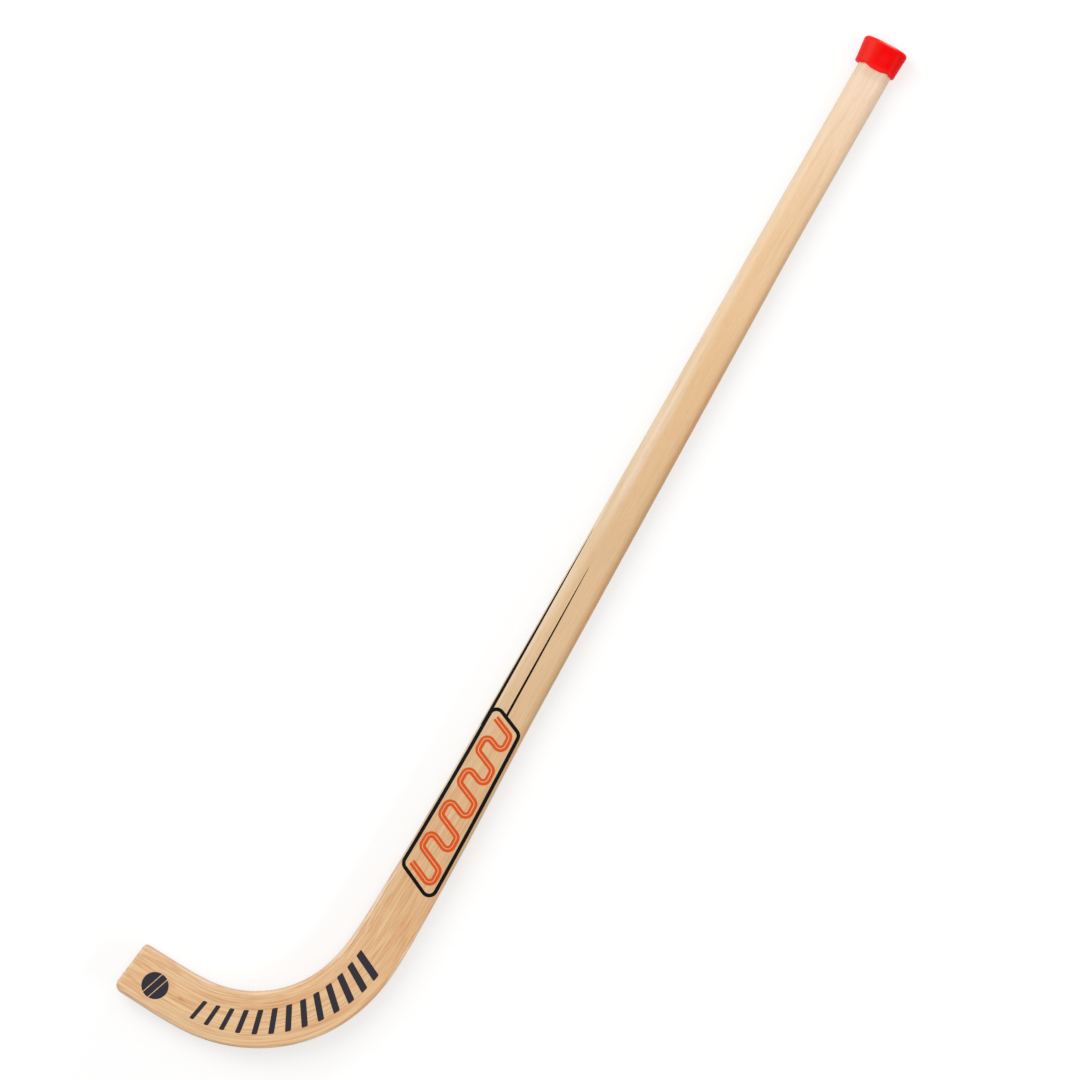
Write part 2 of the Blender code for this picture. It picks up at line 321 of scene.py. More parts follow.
def rounded_depth(depth: Array, radius: float) -> Array:
    """How far a rounded corner stands back at a depth in from the edge."""
    inside = np.maximum(radius - depth, 0.0)
    return radius - np.sqrt(np.maximum(radius * radius - inside * inside, 0.0))


def corner_distance(to_end: Array, to_side: Array, radius: float) -> Array:
    """Distance to the outline near a rounded corner.

    Args:
        to_end: Distances to the corner's one side.
        to_side: Distances to its other side.
        radius: Radius of the corner.

    Returns:
        The distances.
    """
    in_corner = (to_end < radius) & (to_side < radius)
    from_arc = radius - np.hypot(radius - to_end, radius - to_side)
    return np.where(in_corner, from_arc, np.minimum(to_end, to_side))


def linked(name: str, data: bpy.types.ID) -> Piece:
    """A new object in the scene's collection.

    Args:
        name: Its name.
        data: Its mesh, lamp or camera.

    Returns:
        The object.
    """
    made = bpy.data.objects.new(name, data)
    bpy.context.scene.collection.objects.link(made)
    return made


def carry(mesh: bpy.types.Mesh, name: str, values: Array) -> None:
    """Store a number or a vector with each point of a mesh, for its material to read.

    Args:
        mesh: The mesh.
        name: The name that the material asks for.
        values: The numbers or vectors in the order of the points, in an array of any shape.
    """
    single = values.size == len(mesh.vertices)
    layer = mesh.attributes.new(name, "FLOAT" if single else "FLOAT_VECTOR", "POINT")
    layer.data.foreach_set("value" if single else "vector", values.astype(np.float32).ravel())


def smooth_piece(
    name: str,
    points: Array,
    faces: Sequence[Sequence[int]],
    grain: Array,
    material: bpy.types.Material,
) -> Piece:
    """A new smooth-shaded object whose points carry their own coordinates.

    Args:
        name: The piece's name.
        points: World points, in an array with a last axis of 3.
        faces: Point numbers round each face.
        grain: For each point, the coordinates that its finish reads.
        material: The finish.

    Returns:
        The piece.
    """
    mesh = bpy.data.meshes.new(name)
    mesh.from_pydata(points.reshape(-1, 3).tolist(), [], faces)
    mesh.shade_smooth()
    mesh.materials.append(material)
    carry(mesh, "grain", grain)
    return linked(name, mesh)


@dataclass
class Shell:
    """A mesh in the making: strips of quads with their normals and their places in a map."""

    quads: list[Array] = field(default_factory=list)
    normals: list[Array] = field(default_factory=list)
    places: list[Array] = field(default_factory=list)

    def strip(self, index: Array, normal: Array, columns: Array, rows: Array) -> None:
        """Add a strip of quads that faces the way of its rows crossed with its columns.

        Args:
            index: Point numbers in rows and columns.
            normal: Their normals.
            columns: How far right they lie in the texture map.
            rows: How far up they lie in it. The normals and both of these may be broadcast.
        """
        places = np.broadcast_arrays(columns, rows, index)[:2]
        self.quads.append(cells(index).reshape(-1, 4))
        self.normals.append(cells(np.broadcast_to(normal, (*index.shape, 3))).reshape(-1, 3))
        self.places.append(cells(np.stack(places, axis=-1)).reshape(-1, 2))

    def faces(self) -> list[list[int]]:
        """Point numbers round each face."""
        return np.concatenate(self.quads).tolist()

    def dress(self, mesh: bpy.types.Mesh) -> None:
        """Give the finished mesh its texture map and its custom normals.

        Args:
            mesh: The mesh, with the shell's faces.
        """
        layer = mesh.uv_layers.new(name="OFBake")
        layer.uv.foreach_set("vector", np.concatenate(self.places).astype(np.float32).ravel())
        mesh.normals_split_custom_set(np.concatenate(self.normals).tolist())


@dataclass(frozen=True)
class Fade:
    """A smooth step of a number, from one level before its start to another past its end."""

    start: float
    end: float
    before: float = 0.0
    past: float = 1.0


@dataclass(frozen=True)
class Noise:
    """Soft noise, about 0 to 1: its features per metre, its finer layers and its distortion."""

    per_metre: Triple
    layers: float = 2.0
    warp: float = 0.0


@dataclass(frozen=True)
class Band:
    """Where a long band lies: fades over the share of the width, and over the distance along."""

    across: tuple[Fade, ...]
    along: tuple[Fade, ...]


@dataclass(frozen=True)
class Streaks:
    """A colour in streaks, with its share on the plain shaft and where the laths bend."""

    colour: Colour
    noise: Noise
    shows: Fade
    plain: float
    bent: float


class NodeGraph:
    """Short-hand for the node tree of one procedural material, or of the world."""

    def __init__(self, owner: bpy.types.Material | bpy.types.World) -> None:
        """Start from the nodes that the owner has of itself.

        Args:
            owner: The material, or the world.
        """
        owner.use_nodes = True
        self.owner = owner
        self.tree = owner.node_tree

    def add(self, kind: str, inputs: dict[str | int, object], **settings: object) -> bpy.types.Node:
        """Add a node.

        Args:
            kind: The node's type name, after "ShaderNode".
            inputs: Values or sockets for its inputs, by name or number.
            **settings: Values for its own properties.

        Returns:
            The node.
        """
        node = self.tree.nodes.new("ShaderNode" + kind)
        for key, value in settings.items():
            setattr(node, key, value)
        for key, value in inputs.items():
            self.feed(node.inputs[key], value)
        return node

    def feed(self, socket: Socket, value: object) -> None:
        """Set an input to a value, or link it to a socket.

        Args:
            socket: The input.
            value: The value or the socket.
        """
        if isinstance(value, Socket):
            self.tree.links.new(value, socket)
        else:
            socket.default_value = value

    def math(self, operation: str, first: object, *others: object) -> Socket:
        """An operation on one number, or on several of them from the left.

        Args:
            operation: Blender's name for it.
            first: The first number or socket.
            *others: The other ones.

        Returns:
            The result.
        """
        for other in others or (0.0,):
            first = self.add("Math", {0: first, 1: other}, operation=operation).outputs[0]
        return first

    def product(self, *numbers: object) -> Socket:
        """Two or more numbers multiplied together."""
        return self.math("MULTIPLY", *numbers)

    def vector(self, operation: str, first: object, second: object) -> Socket:
        """An operation on two vectors."""
        return self.add("VectorMath", {0: first, 1: second}, operation=operation).outputs[0]

    def fade(self, value: Socket, fade: Fade) -> Socket:
        """A number taken smoothly from one level to another."""
        inputs = {0: value, 1: fade.start, 2: fade.end, 3: fade.before, 4: fade.past}
        return self.add("MapRange", inputs, interpolation_type="SMOOTHSTEP").outputs[0]

    def carried(self, name: str, kind: str = "Fac") -> Socket:
        """A number that the piece's points carry, or a vector."""
        return self.add("Attribute", {}, attribute_name=name).outputs[kind]

    def coordinates(self) -> tuple[Socket, ...]:
        """The coordinates that the piece's points carry, as a vector and then one by one."""
        grain = self.carried("grain", "Vector")
        return (grain, *self.add("SeparateXYZ", {0: grain}).outputs)

    def noise(self, place: Socket, noise: Noise) -> Socket:
        """Soft noise at coordinates in metres.

        Args:
            place: The coordinates.
            noise: Its kind.

        Returns:
            Its level, about 0 to 1.
        """
        inputs = {"Vector": self.vector("MULTIPLY", place, noise.per_metre), "Scale": 1.0}
        inputs |= {"Detail": noise.layers, "Distortion": noise.warp}
        return self.add("TexNoise", inputs).outputs[0]

    def mix(self, share: object, first: object, second: object, blend: str = "MIX") -> Socket:
        """Two colours mixed by a share, in one of Blender's ways."""
        inputs = {0: share, 6: first, 7: second}
        return self.add("Mix", inputs, data_type="RGBA", blend_type=blend).outputs[2]

    def bands(self, value: Socket, stops: Sequence[tuple[float, Colour]]) -> Socket:
        """A colour read off a ramp.

        Args:
            value: The place on the ramp, 0 to 1.
            stops: Places on it with their colours.

        Returns:
            The colour.
        """
        node = self.add("ValToRGB", {0: value})
        elements = node.color_ramp.elements
        while len(elements) < len(stops):
            elements.new(1.0)
        for element, (position, colour) in zip(elements, stops):
            element.position = position
            element.color = colour
        return node.outputs[0]

    def bump(self, height: Socket, distance: float, strength: float) -> Socket:
        """A surface normal bent by a height."""
        inputs = {"Strength": strength, "Distance": distance, "Height": height}
        return self.add("Bump", inputs).outputs[0]

    def seen(self) -> Socket:
        """Which rays show a surface to the camera, straight or by gloss or glass.

        Returns:
            1 for such a ray, else 0.
        """
        rays = self.add("LightPath", {}).outputs
        kinds = ("Camera", "Glossy", "Transmission")
        return self.math("MAXIMUM", *[rays[f"Is {kind} Ray"] for kind in kinds])

    def surface(self, **inputs: object) -> bpy.types.Material:
        """Set the shader's sockets, with spaces in their names written as underscores.

        Args:
            **inputs: Values or sockets.

        Returns:
            The finished material.
        """
        shader = self.tree.nodes["Principled BSDF"]
        for key, value in inputs.items():
            self.feed(shader.inputs[key.replace("_", " ")], value)
        return self.owner


@dataclass(frozen=True)
class LacqueredAsh:
    """Clear-lacquered ash: pale at the grip, warmer and streaked where the laths bend, with painted
    highlights and painted shade.

    Fades across a band are over the share of the width, counted from the inner edge.
    """

    length: float = 1.06
    tones: tuple[tuple[float, Colour], ...] = (
        (0.03, display(252, 223, 195)),
        (0.14, display(245, 208, 165)),
        (0.29, display(236, 195, 146)),
        (0.43, display(229, 190, 145)),
        (0.52, display(229, 193, 150)),
        (0.60, display(231, 194, 150)),
        (0.72, display(230, 191, 143)),
        (0.81, display(243, 203, 154)),
        (0.95, display(247, 208, 159)),
    )
    bend: Fade = Fade(0.52, 0.80)

    # Painted shade: browns over the shaft's outer shoulder, darker where it turns away from the
    # light.
    painted_shade_brown: Colour = display(208, 146, 86)
    painted_shade_streak: Colour = display(197, 157, 98)
    painted_shade_noise: Noise = Noise((14.0, 60.0, 60.0), 1.0)
    painted_shade_mixed: Fade = Fade(0.35, 0.65)
    painted_shade_band: Band = Band(
        (Fade(0.76, 0.99, 0.0, 0.80),), (Fade(0.0, 0.42), Fade(0.66, 0.84, 1.0, 0.0))
    )

    # Painted highlight: a pale, finely streaked sheen of the lacquer beside the inner edge of the
    # shaft's middle.
    painted_sheen: Colour = display(243, 218, 192)
    painted_sheen_noise: Noise = Noise((9.0, 420.0, 300.0))
    painted_sheen_shows: Fade = Fade(0.35, 0.65, 0.35, 0.85)
    painted_sheen_band: Band = Band(
        (Fade(0.42, 0.24), Fade(0.06, 0.24, 0.3, 1.0)),
        (Fade(0.24, 0.36), Fade(0.40, 0.50, 1.0, 0.0)),
    )

    # Painted highlights: pale over the shaft's shoulder, over the bend's rounded edges by how far
    # they lean, on the neck's rim and on the blade's sides.
    painted_edge_highlight: Colour = display(250, 226, 193)
    shoulder: Band = Band((Fade(0.36, 0.18, 0.0, 0.36),), (Fade(0.02, 0.26, 0.25, 1.0),))
    rounding: Fade = Fade(0.1, 0.9, 0.0, 0.50)
    rim: Band = Band(
        (Fade(0.13, 0.04),), (Fade(0.60, 0.80, 0.75, 1.0), Fade(0.845, 0.89, 1.0, 0.0))
    )
    margin_highlights: tuple[Fade, Fade] = (Fade(0.24, 0.05), Fade(0.78, 0.95))
    margin_highlights_along: Fade = Fade(0.93, 1.03, 0.0, 0.52)

    orange: Streaks = Streaks(
        display(236, 174, 124), Noise((18.0, 330.0, 160.0), 2.0, 0.4), Fade(0.47, 0.66), 0.13, 0.60
    )
    sand: Streaks = Streaks(
        display(214, 180, 130), Noise((11.0, 170.0, 190.0), 2.0, 0.4), Fade(0.50, 0.72), 0.36, 0.42
    )
    lath_tint: float = 0.035

    drift: float = 0.0044
    drift_noise: Noise = Noise((16.0, 40.0, 40.0), 1.0)
    growth: Noise = Noise((19.0, 820.0, 260.0), 2.0, 0.2)
    growth_width: float = 0.11
    growth_lines: Streaks = Streaks(
        display(214, 144, 84), Noise((32.0, 330.0, 200.0), 1.0), Fade(0.36, 0.56), 0.07, 0.70
    )

    fibre: Colour = display(246, 218, 180)
    fibre_noise: Noise = Noise((36.0, 2300.0, 800.0))
    fibre_shows: Fade = Fade(0.50, 0.74, 0.0, 0.34)
    pore: Colour = display(158, 108, 66)
    pore_noise: Noise = Noise((120.0, 2600.0, 900.0), 1.0, 0.5)
    pore_shows: Fade = Fade(0.60, 0.78, 0.0, 0.30)

    lath: float = 0.003
    joint: Colour = display(196, 138, 92)
    joint_width: float = 0.00022
    joint_shares: Pair = (0.03, 0.30)

    knot: Colour = display(176, 122, 74)
    knot_place: Triple = (1.0032, 0.0229, 0.009)
    knot_size: Triple = (0.0042, 0.0016, 0.006)
    knot_shows: Fade = Fade(0.2, 1.0, 0.45, 0.0)

    fibre_relief: float = 0.6
    joint_relief: float = 0.5
    relief_depth: float = 0.00004
    relief_strength: float = 0.30
    roughness: Fade = Fade(0.3, 0.7, 0.50, 0.58)
    specular: float = 0.10
    coat: float = 0.50
    coat_ior: float = 1.6
    coat_roughness: float = 0.42

    def material(self) -> bpy.types.Material:
        """Build the wood from what each lath carries."""
        return AshGraph(self).material()


class AshGraph(NodeGraph):
    """The wood's node tree in the making: places on the stick, and the tone laid so far."""

    def __init__(self, ash: LacqueredAsh) -> None:
        """Read what each lath carries, and start with the tone that changes along the stick.

        Args:
            ash: The wood's sizes and colours.
        """
        super().__init__(bpy.data.materials.new("lacquered_ash"))
        self.ash = ash
        self.grain, self.along, self.across, _ = self.coordinates()
        self.share = self.carried("share")
        self.bent = self.fade(self.along, ash.bend)
        number = self.carried("lath")
        self.own = self.add("TexWhiteNoise", {"W": number}, noise_dimensions="1D").outputs
        self.tone = self.bands(self.math("DIVIDE", self.along, ash.length), ash.tones)

    def material(self) -> bpy.types.Material:
        """Lay each layer of the wood in order, and then the lacquer.

        Returns:
            The finished material.
        """
        # Painted shade first, then painted highlights; after them the wood's own streaks and marks.
        self.lay_painted_shade_brown()
        self.lay_painted_sheen_band()
        self.lay_painted_edge_highlights()
        for streaks in (self.ash.orange, self.ash.sand):
            self.lay(self.shown(streaks, self.grain), streaks.colour)
        self.tint_laths()
        place = self.drifting()
        self.lay_growth_lines(place)
        fibres = self.lay_fibres(place)
        joints = self.lay_joints()
        self.lay_knot()
        return self.lacquered(fibres, joints)

    def lay(self, share: Socket, colour: Colour | Socket) -> None:
        """Mix a colour into the tone by a share."""
        self.tone = self.mix(share, self.tone, colour)

    def within(self, band: Band) -> Socket:
        """How much a place lies within a band, 0 to 1."""
        shares = [self.fade(self.share, fade) for fade in band.across]
        return self.product(*shares, *[self.fade(self.along, fade) for fade in band.along])

    def by_bend(self, plain: float, bent: float) -> Socket:
        """A number that goes from the plain shaft's to the bent laths'."""
        return self.fade(self.bent, Fade(0.0, 1.0, plain, bent))

    def shown(self, streaks: Streaks, place: Socket) -> Socket:
        """How much of a colour its streaks show at a place."""
        level = self.fade(self.noise(place, streaks.noise), streaks.shows)
        return self.product(level, self.by_bend(streaks.plain, streaks.bent))

    def lay_painted_shade_brown(self) -> None:
        """Paint shade in browns over the shaft's outer shoulder, in streaks of two colours."""
        ash = self.ash
        streaks = self.fade(self.noise(self.grain, ash.painted_shade_noise), ash.painted_shade_mixed)
        self.lay(self.within(ash.painted_shade_band), self.mix(streaks, ash.painted_shade_brown, ash.painted_shade_streak))

    def lay_painted_sheen_band(self) -> None:
        """Lay a painted highlight: a pale, finely streaked sheen beside the inner edge of the
        shaft's middle.
        """
        streaks = self.fade(self.noise(self.grain, self.ash.painted_sheen_noise), self.ash.painted_sheen_shows)
        self.lay(self.product(self.within(self.ash.painted_sheen_band), streaks), self.ash.painted_sheen)

    def lay_painted_edge_highlights(self) -> None:
        """Paint highlights on the shaft's shoulder, the bend's edges, the neck's rim and the
        blade's sides.
        """
        ash = self.ash
        shoulder = self.product(self.within(ash.shoulder), self.by_bend(1.0, 0.0))
        rounding = self.product(self.fade(self.carried("lean"), ash.rounding), self.bent)
        margin_highlights = self.math("MAXIMUM", *[self.fade(self.share, side) for side in ash.margin_highlights])
        blade = self.product(margin_highlights, self.fade(self.along, ash.margin_highlights_along))
        edges = self.math("MAXIMUM", shoulder, rounding)
        self.lay(self.math("ADD", edges, self.within(ash.rim), blade), ash.painted_edge_highlight)

    def tint_laths(self) -> None:
        """Make each bent lath a little lighter or darker, by its own share."""
        tint = self.fade(self.own["Value"], Fade(0.0, 1.0, -self.ash.lath_tint, self.ash.lath_tint))
        level = self.math("ADD", self.product(tint, self.bent), 1.0)
        grey = self.add("CombineXYZ", {0: level, 1: level, 2: level}).outputs[0]
        self.tone = self.mix(1.0, self.tone, grey, "MULTIPLY")

    def drifting(self) -> Socket:
        """Let the grain wander a little from the lath's faces, in each lath its own way.

        Returns:
            Coordinates along the drifting grain.
        """
        wander = self.math("SUBTRACT", self.noise(self.grain, self.ash.drift_noise), 0.5)
        aside = self.product(wander, self.ash.drift)
        push = self.add("CombineXYZ", {1: aside, 2: aside}).outputs[0]
        return self.vector("ADD", self.vector("ADD", self.grain, push), self.own["Color"])

    def lay_growth_lines(self, place: Socket) -> None:
        """Draw thin brown lines that run with the grain, fade in and out, and hardly repeat.

        Args:
            place: Coordinates along the drifting grain.
        """
        level = self.math("SUBTRACT", self.noise(place, self.ash.growth), 0.5)
        off_line = self.math("ABSOLUTE", level)
        thin = self.fade(off_line, Fade(0.0, self.ash.growth_width, 1.0, 0.0))
        lines = self.ash.growth_lines
        self.lay(self.product(thin, self.shown(lines, place)), lines.colour)

    def lay_fibres(self, place: Socket) -> Socket:
        """Lay fine pale fibres and short dark pores.

        Args:
            place: Coordinates along the drifting grain.

        Returns:
            The fibres' level, for the relief.
        """
        ash = self.ash
        fibres = self.noise(place, ash.fibre_noise)
        self.lay(self.fade(fibres, ash.fibre_shows), ash.fibre)
        self.lay(self.fade(self.noise(place, ash.pore_noise), ash.pore_shows), ash.pore)
        return fibres

    def lay_joints(self) -> Socket:
        """Draw the glue lines between the laths.

        Returns:
            1 on a glue line, falling to 0 a little beside it.
        """
        ash = self.ash
        turns = self.math("DIVIDE", self.across, ash.lath)
        off = self.math("ABSOLUTE", self.math("SUBTRACT", turns, self.math("ROUND", turns)))
        joints = self.fade(off, Fade(0.0, ash.joint_width / ash.lath, 1.0, 0.0))
        self.lay(self.product(joints, self.by_bend(*ash.joint_shares)), ash.joint)
        return joints

    def lay_knot(self) -> None:
        """Spot the one small knot."""
        offset = self.vector("SUBTRACT", self.grain, self.ash.knot_place)
        near = self.vector("DIVIDE", offset, self.ash.knot_size)
        reach = self.add("VectorMath", {0: near}, operation="LENGTH").outputs["Value"]
        self.lay(self.fade(reach, self.ash.knot_shows), self.ash.knot)

    def lacquered(self, fibres: Socket, joints: Socket) -> bpy.types.Material:
        """Finish the wood with its relief and its lacquer.

        Args:
            fibres: Level of the fibres, which stand up.
            joints: Level of the glue lines, which lie low.

        Returns:
            The finished material.
        """
        ash = self.ash
        raised = self.product(fibres, ash.fibre_relief)
        height = self.math("SUBTRACT", raised, self.product(joints, ash.joint_relief))
        return self.surface(
            Base_Color=self.tone,
            Roughness=self.fade(fibres, ash.roughness),
            Specular_IOR_Level=ash.specular,
            Normal=self.bump(height, ash.relief_depth, ash.relief_strength),
            Coat_Weight=ash.coat,
            Coat_IOR=ash.coat_ior,
            Coat_Roughness=ash.coat_roughness,
        )


@dataclass(frozen=True)
class CapRubber:
    """Glossy red rubber with pale blotches, painted sheen at its mouth and inner side, and a
    painted highlight on the upper edge of its end.
    """

    red: Colour = display(255, 0, 0)
    # Pale colour of the random blotches and of the painted sheen on the inner side and the mouth.
    blotch_and_sheen_colour: Colour = display(255, 50, 43)
    # Painted highlight: a pale streak on the upper edge of the cap's end, where its gloss would
    # catch a lamp.
    end_highlight: Colour = display(255, 160, 150)
    cloud: Noise = Noise((90.0, 90.0, 90.0))
    orange_peel: Noise = Noise((900.0, 900.0, 900.0), 1.0)
    inner_sheen: Fade = Fade(0.0, 0.014, 0.0, 0.75)
    mouth_sheen: Fade = Fade(-0.0155, -0.0205, 0.0, 0.65)
    blotches: Fade = Fade(0.40, 0.75, 0.0, 0.22)
    end_highlight_shift: float = 0.0015
    end_highlight_along: Fade = Fade(0.0006, 0.0024, 0.0, 0.90)
    end_highlight_aside: Fade = Fade(0.0, 0.012, 1.0, 0.0)
    end_highlight_height: Fade = Fade(0.0060, 0.0125)
    roughness: Fade = Fade(0.3, 0.7, 0.40, 0.50)
    relief_depth: float = 0.00003
    relief_strength: float = 0.3
    specular: float = 0.03
    glow_through: float = 0.20
    glow_reach: float = 0.003
    coat: float = 0.12
    coat_roughness: float = 0.34

    def material(self) -> bpy.types.Material:
        """Build the rubber from the cap's own coordinates: along, to its inner side, and up.

        Returns:
            The material.
        """
        g = NodeGraph(bpy.data.materials.new("cap_rubber_gloss"))
        place, along, inward, up = g.coordinates()
        cloud = g.noise(place, self.cloud)
        sides = (g.fade(inward, self.inner_sheen), g.fade(along, self.mouth_sheen))
        # Painted sheen on the inner side and at the mouth, with random pale blotches.
        pale = g.math("MAXIMUM", *sides, g.fade(cloud, self.blotches))
        # Painted highlight on the upper edge of the end, a little off its middle.
        aside = g.math("ABSOLUTE", g.math("ADD", inward, self.end_highlight_shift))
        end_highlighted = g.product(
            g.fade(along, self.end_highlight_along),
            g.fade(aside, self.end_highlight_aside),
            g.fade(up, self.end_highlight_height),
        )
        peel = g.noise(place, self.orange_peel)
        return g.surface(
            Base_Color=g.mix(end_highlighted, g.mix(pale, self.red, self.blotch_and_sheen_colour), self.end_highlight),
            Roughness=g.fade(cloud, self.roughness),
            Specular_IOR_Level=self.specular,
            Subsurface_Weight=self.glow_through,
            Subsurface_Scale=self.glow_reach,
            Normal=g.bump(peel, self.relief_depth, self.relief_strength),
            Coat_Weight=self.coat,
            Coat_Roughness=self.coat_roughness,
        )


class Ink(Enum):
    """The inks of the printed trim."""

    BLACK = display(13, 14, 17)
    ORANGE = display(229, 90, 36)
    CHARCOAL = display(56, 53, 61)


@dataclass(frozen=True)
class InkFilm:
    """A thin layer of ink under the lacquer, with the wood's fibres just showing through."""

    ink: Ink
    fibre_noise: Noise = Noise((30.0, 2400.0, 900.0))
    cloud: Noise = Noise((60.0, 60.0, 60.0))
    worn: Fade = Fade(0.45, 0.85, 0.0, 0.5)
    worn_gain: float = 1.2
    worn_lift: float = 0.003
    roughness: Fade = Fade(0.3, 0.7, 0.48, 0.56)
    relief_depth: float = 0.00003
    relief_strength: float = 0.25
    specular: float = 0.06

    def material(self) -> bpy.types.Material:
        """Build the ink, or take it as made before.

        Returns:
            The material.
        """
        name = f"ink_{self.ink.name.lower()}"
        if name in bpy.data.materials:
            return bpy.data.materials[name]
        g = NodeGraph(bpy.data.materials.new(name))
        grain = g.carried("grain", "Vector")
        fibres = g.noise(grain, self.fibre_noise)
        paler = [min(1.0, c * self.worn_gain + self.worn_lift) for c in self.ink.value[:3]]
        return g.surface(
            Base_Color=g.mix(g.fade(fibres, self.worn), self.ink.value, (*paler, 1.0)),
            Roughness=g.fade(g.noise(grain, self.cloud), self.roughness),
            Specular_IOR_Level=self.specular,
            Normal=g.bump(fibres, self.relief_depth, self.relief_strength),
        )


@dataclass
class LathRings:
    """The rings of one lath over its top and its underside, by places along and across."""

    form: StickForm
    along: Array
    across: Array

    def __post_init__(self) -> None:
        """Lay the rings on the stick's two broad faces and number their points."""
        self.top, self.up = self.form.skin(self.along, self.across, Side.UPPER)
        self.bottom, self.down = self.form.skin(self.along, self.across, Side.LOWER)
        self.upper = np.arange(self.along.size).reshape(self.along.shape)
        self.lower = self.upper + self.along.size
        turn = self.form.edge.read(self.form.edge.heading, self.along[:, 0])
        self.ahead = np.column_stack([-np.cos(turn), np.sin(turn)])
        self.outer = np.column_stack([-np.sin(turn), -np.cos(turn), np.zeros_like(turn)])


@dataclass
class LaminatedBlank:
    """The bent and glued blank: sixteen laths that lie flush, planed to the stick's form."""

    form: StickForm
    lath: float = 0.003
    laths: int = 16
    feather: float = 0.0001
    least_width: float = 0.0000999
    shaft_step: float = 0.008
    neck_step: float = 0.004
    crook_step: float = 0.0015
    nearest_rings: float = 0.00045
    facet: float = 0.0006
    least_facets: int = 4
    tip_zone: float = 0.012
    tip_shares: tuple[float, ...] = (0.25, 0.5, 0.66)
    tip_rings: int = 9
    column_length: float = 0.132
    column_spare: float = 0.016
    column_rows: Pair = (0.01, 0.94)
    column_faces: tuple[Pair, ...] = ((0.02, 0.42), (0.84, 0.44), (0.86, 0.91), (0.93, 0.98))
    end_rows: Pair = (0.96, 0.99)
    end_faces: tuple[Pair, ...] = ((0.01, 0.055), (0.06, 0.105))

    def build(self, finish: LacqueredAsh) -> list[Piece]:
        """Make every lath and dress it.

        Args:
            finish: The wood of all laths.

        Returns:
            The laths, from the inner edge outwards.
        """
        wood = finish.material()
        places = self.stations()
        pieces = []
        for number in range(self.laths):
            piece = self.lath_piece(number, places, wood)
            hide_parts(f"lath_{number + 1:02d}")
            pieces.append(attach(piece, Body.STICK.value))
        return pieces

    def zone(self) -> float:
        """Where the last stretch begins, in which rings lean over to follow the tip."""
        return self.form.edge.tip - self.tip_zone

    def runs(self, near: float) -> Array:
        """Places where the stick's outer edge crosses a line parallel to its inner edge.

        Args:
            near: The line's distance across.

        Returns:
            The distances along, in order.
        """
        line = self.form.edge.along
        wide = self.form.widths - near
        turns = np.nonzero((wide[1:] > 0.0) != (wide[:-1] > 0.0))[0]
        turns = turns[line[turns] < self.zone()]
        return line[turns] + self.form.edge.step * wide[turns] / (wide[turns] - wide[turns + 1])

    def stations(self) -> Array:
        """Places of the square rings that all laths share, so their edges meet exactly.

        Returns:
            The distances along, in order.
        """
        e = self.form.edge
        stretches = (
            np.arange(0.0, e.waist, self.shaft_step),
            np.arange(e.waist, e.neck_end, self.neck_step),
            np.arange(e.neck_end, self.zone(), self.crook_step),
            [self.zone()],
        )
        even = np.concatenate(stretches)
        lines = [k * self.lath + off for k in range(1, self.laths) for off in (0.0, self.feather)]
        exact = np.concatenate([self.runs(near) for near in lines])
        apart = np.abs(even[:, None] - exact[None, :]).min(axis=1)
        kept = even[(apart > self.nearest_rings) | (even == 0.0) | (even == self.zone())]
        return np.unique(np.round(np.concatenate([kept, exact]), 9))

    def girths(self, along: Array, near: float) -> ArrayPair:
        """Lengths over the rounded top to the two faces of a lath.

        Args:
            along: Places along.
            near: The lath's inner face, by its distance across.

        Returns:
            The lengths to its inner face, and to its outer one.
        """
        width, radius = self.form.width_at(along), self.form.radius_at(along)
        faces = (np.full_like(width, near), np.minimum(near + self.lath, width))
        return girth_to(faces[0], width, radius), girth_to(faces[1], width, radius)

    def spread(self, along: Array, near: float, facets: int) -> Array:
        """Distances across for the points of rings, even over the rounded top.

        Args:
            along: Places of the rings.
            near: The lath's inner face.
            facets: How many faces it has over its top.

        Returns:
            One row of distances for each ring.
        """
        width, radius = self.form.width_at(along), self.form.radius_at(along)
        first, last = self.girths(along, near)
        girth = first[:, None] + (last - first)[:, None] * np.linspace(0.0, 1.0, facets + 1)
        across = across_at(girth, width[:, None], radius[:, None])
        across[:, 0] = near
        across[:, -1] = np.minimum(near + self.lath, width)
        return across

    def rings(self, number: int, places: Array) -> LathRings:
        """The rings of one lath from end to end.

        Args:
            number: Which lath, from 0 at the inner edge.
            places: Places of the rings that all laths share.

        Returns:
            The rings, with leaning ones at the end of a lath that reaches the tip.
        """
        near = number * self.lath
        wide = self.form.width_at(places) >= near + self.least_width
        along = places[wide] if number else places
        first, last = self.girths(along, near)
        facets = max(self.least_facets, math.ceil((last - first).max() / self.facet))
        across = self.spread(along, near, facets)
        grid = np.repeat(along[:, None], facets + 1, axis=1)
        if along[-1] < self.zone():
            return LathRings(self.form, grid, across)
        steps = np.linspace(0.0, 0.5 * math.pi, self.tip_rings)
        setbacks = self.form.blade_edge_radius * (1.0 - np.sin(steps))
        shares = np.concatenate([self.tip_shares, 1.0 - setbacks / self.tip_zone])
        straight = self.zone() + shares * self.tip_zone
        tip_across = self.spread(straight, near, facets)
        end = self.form.tip_along(tip_across, self.form.width_at(straight)[:, None])
        leaning = self.zone() + shares[:, None] * (end - self.zone())
        return LathRings(self.form, np.vstack([grid, leaning]), np.vstack([across, tip_across]))

